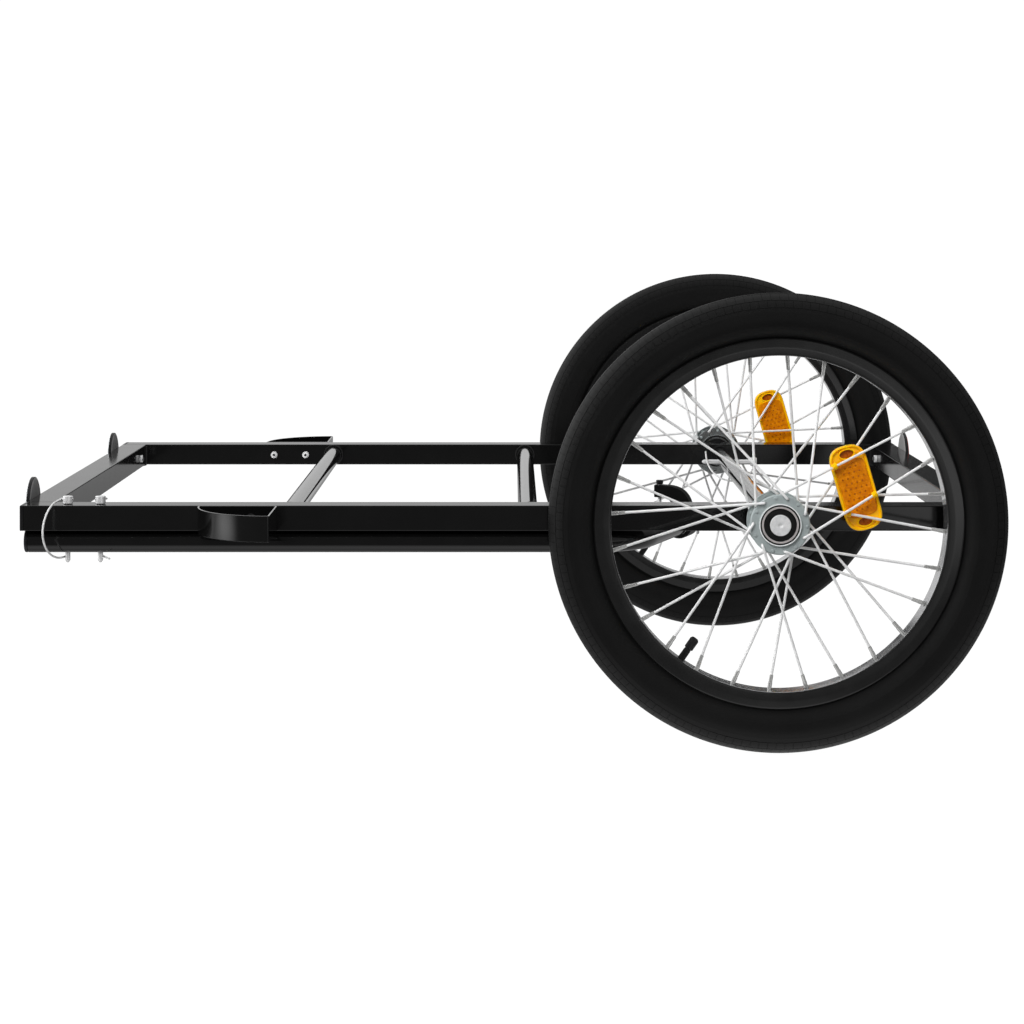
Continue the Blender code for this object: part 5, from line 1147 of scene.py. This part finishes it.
def buildTyre(name, place):
    # the sidewall has faint moulded lines
    outside = [tyrePoint(d, tyre["lineHigh"] if any(abs(d - line) < 1.3 for line in tyre["lines"]) else 0.0)
               for d in (90 - 2.5 * k for k in range(61))]
    bead = wheel["rimHalf"] - wheel["rimWall"] - 0.0003
    inset = bead - tyre["beadThick"]
    outside += [(tyre["beadOuter"], bead), (tyre["beadInner"], bead), (tyre["beadInner"], inset),
                (tyre["beadTop"], inset)]
    inside = [(tyre["centre"] + tyre["innerHigh"] * math.sin(a), tyre["innerHalf"] * math.cos(a))
              for a in (math.radians(d) for d in range(-55, 90, 12))]
    bm = bmesh.new()
    revolve(bm, bothSides(outside + inside + [(tyre["crown"], 0.0)]), place, 160)
    makePiece(name + "Tyre", bm, tyreRubber, name + "_wheel", name + "_tyre", sharp=30)
    bm = bmesh.new()
    treadPitch(bm)
    pitchPiece = makeObject(name + "TreadPitch", bm, tyreRubber)
    ring = growNodes(linesObject(name + "TyreTread", [], tyreRubber), treadRing,
                     {"Pitch piece": pitchPiece, "Count": tread["pitches"], "Material": tyreRubber})
    bpy.data.objects.remove(pitchPiece)
    layDown(ring, place)
    sharpen(ring, 30)
    finishPiece(ring, name + "_wheel")


def buildRim(name, place, lines):
    bed, half, outer, wall = wheel["bed"], wheel["rimHalf"], wheel["rimRadius"], wheel["rimWall"]
    channel = bed + wheel["bedThick"]
    section = rounded([(bed, 0.0), (bed, half * 0.86), (bed + 0.0012, half - 0.0003), (bed + 0.0070, half),
                       (outer - 0.0012, half - 0.0003), (outer, half - 0.0006), (outer, half - wall),
                       (outer - 0.0022, half - wall), (channel + 0.0035, half - wall), (channel, half * 0.46),
                       (channel, 0.0)], 0.0009, 3, closed=False)
    bm = bmesh.new()
    revolve(bm, bothSides(section), place, 144)
    rim = makeObject(name + "Rim", bm, rimCoat, 30)
    holes = [(place @ axisPlace(line["seat"], line["run"]), wheel["spokeHole"], -0.003, 0.003, 16)
             for line in lines]
    valvePlace = place @ axisPlace((0, 0, 0), valveWay)
    holes.append((valvePlace, wheel["valveHole"], bed - 0.004, channel + 0.003, 20))
    drill(rim, holes)
    paint(rim, rimBare, lambda face: math.hypot(*(face.center - place.translation).xz) < bed + 0.0002)
    finishPiece(rim, name + "_wheel", name + "_rim")


def runRise(level, turn):
    # how much further out an elbow has to stand, so that its spoke clears the flange's edge
    start, seat = Vector((hub["holeCircle"], 0)), wheel["bed"] + wheel["bedThick"] / 2
    run = Vector(circle(seat, turn)) - start
    ahead = start.dot(run.normalized())
    edge = hub["flange"] + 0.002
    over = math.sqrt(ahead ** 2 + edge ** 2 - start.length_squared) - ahead
    return over * (level - lacing["offCentre"]) / run.length


def spokeLines():
    # head, elbow and seat of each spoke in the wheel's own frame
    lines, spacing = [], math.tau / lacing["perFlange"]
    seatRadius, circleRadius = wheel["bed"] + wheel["bedThick"] / 2, hub["holeCircle"]
    outside, inside = hub["face"] + lacing["gap"], hub["face"] - hub["thick"] - lacing["gap"]
    for flange, first in ((1, lacing["outerFirst"]), (-1, lacing["innerFirst"])):
        for k in range(lacing["perFlange"]):
            angle = math.radians(first) + spacing * k
            turn = spacing * (lacing["cross"] + (0.5 if (flange, k) in lacing["swapped"] else 0)) * flange
            if k % 2 == 0:
                face, end, level = inside, inside - lacing["head"], outside + lacing["halfWire"]
                level += runRise(level, turn)
            else:
                turn, face, end, level = -turn, outside, outside + lacing["head"], inside - lacing["halfWire"]
            elbow = wheelPoint(circleRadius, angle, flange * level)
            seat = wheelPoint(seatRadius, angle + turn, flange * lacing["offCentre"])
            lines.append({"headEnd": wheelPoint(circleRadius, angle, flange * end),
                          "head": wheelPoint(circleRadius, angle, flange * face),
                          "elbow": elbow, "seat": seat, "run": (seat - elbow).normalized(),
                          "arm": (1 if k % 2 == 0 else -1) if flange > 0 else 0})
    return lines


def buildSpokes(name, place, lines):
    rows = [[place @ p for p in rounded([line["head"], line["elbow"], line["seat"] + line["run"] * 0.001],
                                        lacing["elbow"], 6, closed=False)] for line in lines]
    wirePiece(name + "Spokes", rows, lacing["wire"], 10, spokeSteel, name + "_wheel",
              name + "_spokes_and_nipples")
    turn = place.to_3x3()
    bm = bmesh.new()
    turned(bm, spokeHead, 0.0003, 2, upright, 14)
    scatter(name + "SpokeHeads", bm, [place @ line["head"] for line in lines],
            [turn @ (line["headEnd"] - line["head"]).normalized() for line in lines], hubZinc,
            name + "_wheel", "spoke_steel")
    # nipples: a squared shank, a round shoulder and a round head inside the rim
    bm = bmesh.new()
    square = boxOutline(nipple["width"], nipple["width"], nipple["corner"], 4)
    scaledStack(bm, square, nipple["shank"], upright)
    turned(bm, nipple["head"], 0.0004, 2, upright, 16)
    scatter(name + "Nipples", bm, [place @ line["seat"] for line in lines],
            [turn @ line["run"] for line in lines], nippleNickel, name + "_wheel")


def turnBoth(bm, line, radius, steps, place):
    # the same ring at both ends of the hub
    for way in (-1, 1):
        revolve(bm, [(r, a * way) for r, a in (rounded(line, radius, steps) if radius else line)], place, 72)


def boxLine(low, high, start, end):
    return [(low, start), (high, start), (high, end), (low, end)]


def buildHub(name, side, place):
    wheelBody = name + "_wheel"
    half, flange, boss, face, barrel = (hub[key] for key in ("half", "flange", "boss", "face", "barrel"))
    seat, floor, back = hub["bearing"] + 0.0003, half - 0.0086, face - hub["thick"]
    outer = rounded([(0.0166, half - 0.0016), (0.0173, half - 0.0016), (0.0173, half), (boss, half - 0.0003),
                     (boss, face), (flange - 0.0009, face), (flange, face - 0.0011), (flange - 0.0003, back),
                     (barrel + 0.001, back), (barrel, back - 0.0012), (0.0152, 0.003), (0.0150, 0.0)],
                    0.0003, 3, closed=False)
    inner = [(0.0122, 0.0), (0.0122, floor), (seat, floor), (seat, half - 0.0022), (0.0150, half - 0.0022),
             (0.0150, half - 0.0006)]
    bm = bmesh.new()
    revolve(bm, bothSides(inner + outer), place, 96)
    shell = makeObject(name + "HubShell", bm, hubZinc, 30)
    holes = []
    for flangeSide, first in ((1, lacing["outerFirst"]), (-1, lacing["innerFirst"])):
        for k in range(lacing["perFlange"]):
            angle = math.radians(first) + math.tau * k / lacing["perFlange"]
            spot = wheelPoint(hub["holeCircle"], angle, flangeSide * (face + back) / 2)
            holes.append((place @ axisPlace(spot, yAxis), hub["hole"], -0.002, 0.002, 14))
    drill(shell, holes)
    paint(shell, hubPolish, lambda shellFace: shellFace.normal.y * side < -0.3)
    finishPiece(shell, wheelBody, name + "_hub_shell")
    # two bright turned rings round the mouth of the boss, with a black rubber ring sunk in the groove between
    # them as painted shade
    for label, low, high, top, finish in (("Band", 0.0141, 0.0157, 0.0, hubFace),
                                          ("Lip", 0.0171, 0.0180, 0.0003, hubLip)):
        for way, wayName in ((-1, "Inner"), (1, "Outer")):
            bm = bmesh.new()
            land = rounded(boxLine(low, high, half - 0.0014, half + top), 0.0002, 2)
            revolve(bm, [(r, a * way) for r, a in land], place, 72)
            makePiece(name + wayName + "Hub" + label, bm, finish if way > 0 else hubPolish, wheelBody)
    # the black ring sunk in the groove is painted shade of the groove
    bm = bmesh.new()
    turnBoth(bm, boxLine(0.0158, 0.0170, half - 0.0013, half - 0.0008), 0, 0, place)
    makePiece(name + "HubGrooves", bm, softRubber, wheelBody)
    far = half - 0.0003
    bm = bmesh.new()
    for way in (-1, 1):
        for line, radius in ((boxLine(0.0125, hub["bearing"], far - 0.0080, far - 0.0016), 0.0005),
                             (boxLine(0.0063, 0.0085, far - 0.0080, far), 0.0004)):
            revolve(bm, [(r, a * way) for r, a in rounded(line, radius, 3)], place, 72)
    makePiece(name + "BearingRaces", bm, bearingSteel, wheelBody, name + "_hub_bearings")
    bm = bmesh.new()
    turnBoth(bm, [(0.0086, far - 0.0013), (0.0140, far - 0.0013), (0.0140, far - 0.0006),
                  (0.0134, far - 0.0003), (0.0128, far - 0.0007), (0.0104, far - 0.0007),
                  (0.0096, far - 0.0003), (0.0086, far - 0.0004)], 0.0003, 2, place)
    makePiece(name + "BearingSeals", bm, softRubber, wheelBody)


def buildStubAxle(name, place):
    # capped end with a lathe centre, a collar behind the hub, and the shaft to the lock pin
    cap, shaft, start, to = stub["cap"], stub["shaft"], stub["capFrom"], stub["capTo"]
    collar, end = stub["collarTo"], stub["end"]
    centre = [(0, to - 0.0016), (0.0011, to - 0.0010), (0.0022, to - 0.0001), (0.0025, to)]
    line = rounded([(0.0026, to), (cap, to), (cap, start), (shaft, start), (shaft, -start), (cap, -start),
                    (cap, collar), (shaft, collar), (shaft, end), (0, end)], 0.0007, 4, closed=False)
    bm = bmesh.new()
    revolve(bm, centre + line, place, 64, closed=False)
    axle = makeObject(name + "StubAxle", bm, zincPlated)
    reach = bores["pinReach"]
    drill(axle, [(place @ axisPlace((0, stub["pinAt"], 0), xAxis), bores["pin"], -reach, reach, 24)])
    finishPiece(axle, "chassis", name + "_stub_axle")


def buildValve(name, place):
    # rubber stem with its ringed root, and a ribbed cap
    spot = place @ axisPlace((0, 0, 0), valveWay)
    size, half = innerTube["radius"], innerTube["half"]
    line = [(tyre["centre"] + size * math.sin(a), size * math.cos(a))
            for a in (math.radians(d) for d in range(0, 360, 20))]
    line = [(r, max(-half, min(half, a)) * (innerTube["narrow"] if r < innerTube["narrowBelow"] else 1.0))
            for r, a in line]
    bm = bmesh.new()
    revolve(bm, line, place, 64)
    turned(bm, valve["stem"], 0.0004, 3, spot, 28)
    makePiece(name + "InnerTubeAndStem", bm, softRubber, name + "_wheel", name + "_inner_tube")
    ribs, tip, to = valve["ribs"], valve["tip"], valve["capTo"]
    outline = [Vector(circle(valve["cap"] * (1 if k % 2 == 0 else valve["groove"]), math.pi * k / ribs))
               for k in range(2 * ribs)]
    bm = bmesh.new()
    scaledStack(bm, outline, ((tip, 0.55), (tip + 0.0004, 0.75), (tip + 0.0012, 0.86), (tip + 0.0018, 1.0),
                              (to - 0.0006, 1.0), (to, 0.88)), spot)
    makePiece(name + "ValveCap", bm, mouldedPlastic, name + "_wheel")


spokeReflector = {"radius": 0.073, "angle": 24.3, "tilt": 16.0, "length": 0.074, "width": 0.032,
                  "half": 0.0036, "endRadius": 0.0146, "panel": (0.0262, 0.050, 0.007),
                  "eye": (0.0062, 0.0036), "eyeFromEnd": 0.0072, "eyeDeep": 0.0016, "eyeRim": 0.0006,
                  "rimWire": 0.0008, "clipWire": 0.0009, "clipRadius": 0.0021, "clipAt": 0.0130}
# the plate's raised border on both faces: how far in, and how far below the face
border = ((0.0026, 0.0016), (0.0018, 0.0003), (0.0011, 0.0), (0.0003, 0.0003), (0.0, 0.0012))
# what the panel is covered with: pitch, material, how far it is sunk
panelRelief = {"Prisms": (0.0021, amberPanel, 0.0006), "Seats": (0.0044, paintedShadeAmber, 0.0004)}
panelDomes = {"Half length": 0.0120, "Radius": 0.0112, "Dome radius": 0.0010}


def reflectorOutline(inset):
    return boxOutline(spokeReflector["width"] - 2 * inset, spokeReflector["length"] - 2 * inset,
                      spokeReflector["endRadius"], 10)


def eyeRing(grow, count, level, middle):
    a, b = (size + grow for size in spokeReflector["eye"])
    return [Vector((a * math.cos(math.tau * k / count), level, b * math.sin(math.tau * k / count) + middle))
            for k in range(count)]


def closedSweep(bm, points, radius, sides):
    normal = (points[1] - points[0]).cross(points[2] - points[1]).normalized()
    rings = []
    for before, point, after in zip(points[-1:] + points, points, points[1:] + points[:1]):
        across = (after - before).normalized().cross(normal)
        rings.append(ringRound(bm, point, across, normal, radius, sides))
    skin(bm, rings, closed=True)


def buildSpokeReflector(name, place, lines):
    tilt, half = math.radians(spokeReflector["tilt"]), spokeReflector["half"]
    centre = wheelPoint(spokeReflector["radius"], math.radians(spokeReflector["angle"]), 0)
    longWay = Vector((-math.sin(tilt), 0, math.cos(tilt)))
    local = placeMatrix(centre, yAxis.cross(longWay), yAxis, longWay)
    spot = place @ local
    eyeZ = spokeReflector["length"] / 2 - spokeReflector["eyeFromEnd"]
    corners = [(end, way) for end in (-1, 1) for way in (-1, 1)]
    levels = [(inset, -half + low) for inset, low in border]
    levels += [(inset, half - low) for inset, low in border[::-1]]
    bm = bmesh.new()
    skin(bm, [[bm.verts.new(spot @ Vector((p[0], level, p[1]))) for p in reflectorOutline(inset)]
              for inset, level in levels], caps=True)
    body = makeObject(name + "SpokeReflector", bm, amberBody, 30)
    bm = bmesh.new()
    low, high = half - 0.0016 - spokeReflector["eyeDeep"], half + 0.001
    for end, way in corners:
        skin(bm, [[bm.verts.new(spot @ p) for p in eyeRing(0, 24, way * level, end * eyeZ)]
                  for level in (low, high)], caps=True)
    cut(body, bm)
    back = spot.inverted()

    def inEye(face):
        x, y, z = back @ face.center
        return (abs(abs(z) - eyeZ) < spokeReflector["eye"][1] and abs(x) < spokeReflector["eye"][0]
                and abs(y) < half - 0.0018)

    # the walls of the eye holes are painted darker amber: painted shade inside the holes
    paint(body, paintedShadeAmber, inEye)
    finishPiece(body, name + "_wheel", name + "_spoke_reflector_body")
    # reflecting panel, a little proud of the plate and covered in prisms
    bm = bmesh.new()
    slab(bm, boxOutline(*spokeReflector["panel"]), (
        (-half + 0.0006, 0.0008), (-half + 0.0010, 0.0), (half - 0.0010, 0.0), (half - 0.0006, 0.0008)), spot)
    makePiece(name + "SpokeReflectorPanel", bm, amberPanel, name + "_wheel", name + "_spoke_reflector_lens")
    for label, way in (("Outer", 1), ("Inner", -1)):
        for kind, (pitch, material, sink) in panelRelief.items():
            prismPiece(f"{name}Reflector{kind}{label}", {**panelDomes, "Pitch": pitch}, material,
                       name + "_wheel", spot, lambda p: p.y * 0.5 + way * (half - sink))
    # eye rims and the arms that clip over the spokes
    bm = bmesh.new()
    for end, way in corners:
        ring = eyeRing(spokeReflector["eyeRim"], 28, way * (half - 0.0011), end * eyeZ)
        closedSweep(bm, [spot @ p for p in ring], spokeReflector["rimWire"], 8)
    inverse, grip = local.inverted(), spokeReflector["clipRadius"]
    for line in lines:
        low = inverse @ line["elbow"]
        run = inverse @ line["seat"] - low
        share = (spokeReflector["clipAt"] * line["arm"] - low.x) / run.x
        point = low + run * share
        if line["arm"] and 0 < share < 1 and abs(point.z) < 0.025:
            along = run.normalized()
            across = Vector((along.z, 0, -along.x)).normalized()
            hook = [point + across * grip * math.cos(a) + yAxis * grip * math.sin(a)
                    for a in (math.radians(-60 + 240 * k / 12) for k in range(13))]
            foot = Vector((hook[0].x, half - 0.0012, hook[0].z))
            for shift in (-0.0014, 0.0, 0.0014):
                sweep(bm, [spot @ (p + along * shift) for p in [foot] + hook], spokeReflector["clipWire"], 8)
    makePiece(name + "SpokeReflectorClips", bm, amberBody, name + "_wheel")


for wheelName, wheelSide in sideNames:
    wheelSpot, wheelLines = wheelPlace(wheelSide), spokeLines()
    buildTyre(wheelName, wheelSpot)
    buildRim(wheelName, wheelSpot, wheelLines)
    buildSpokes(wheelName, wheelSpot, wheelLines)
    buildHub(wheelName, wheelSide, wheelSpot)
    buildStubAxle(wheelName, wheelSpot)
    buildValve(wheelName, wheelSpot)
    buildSpokeReflector(wheelName, wheelSpot, wheelLines)
    print(wheelName, "wheel ready")
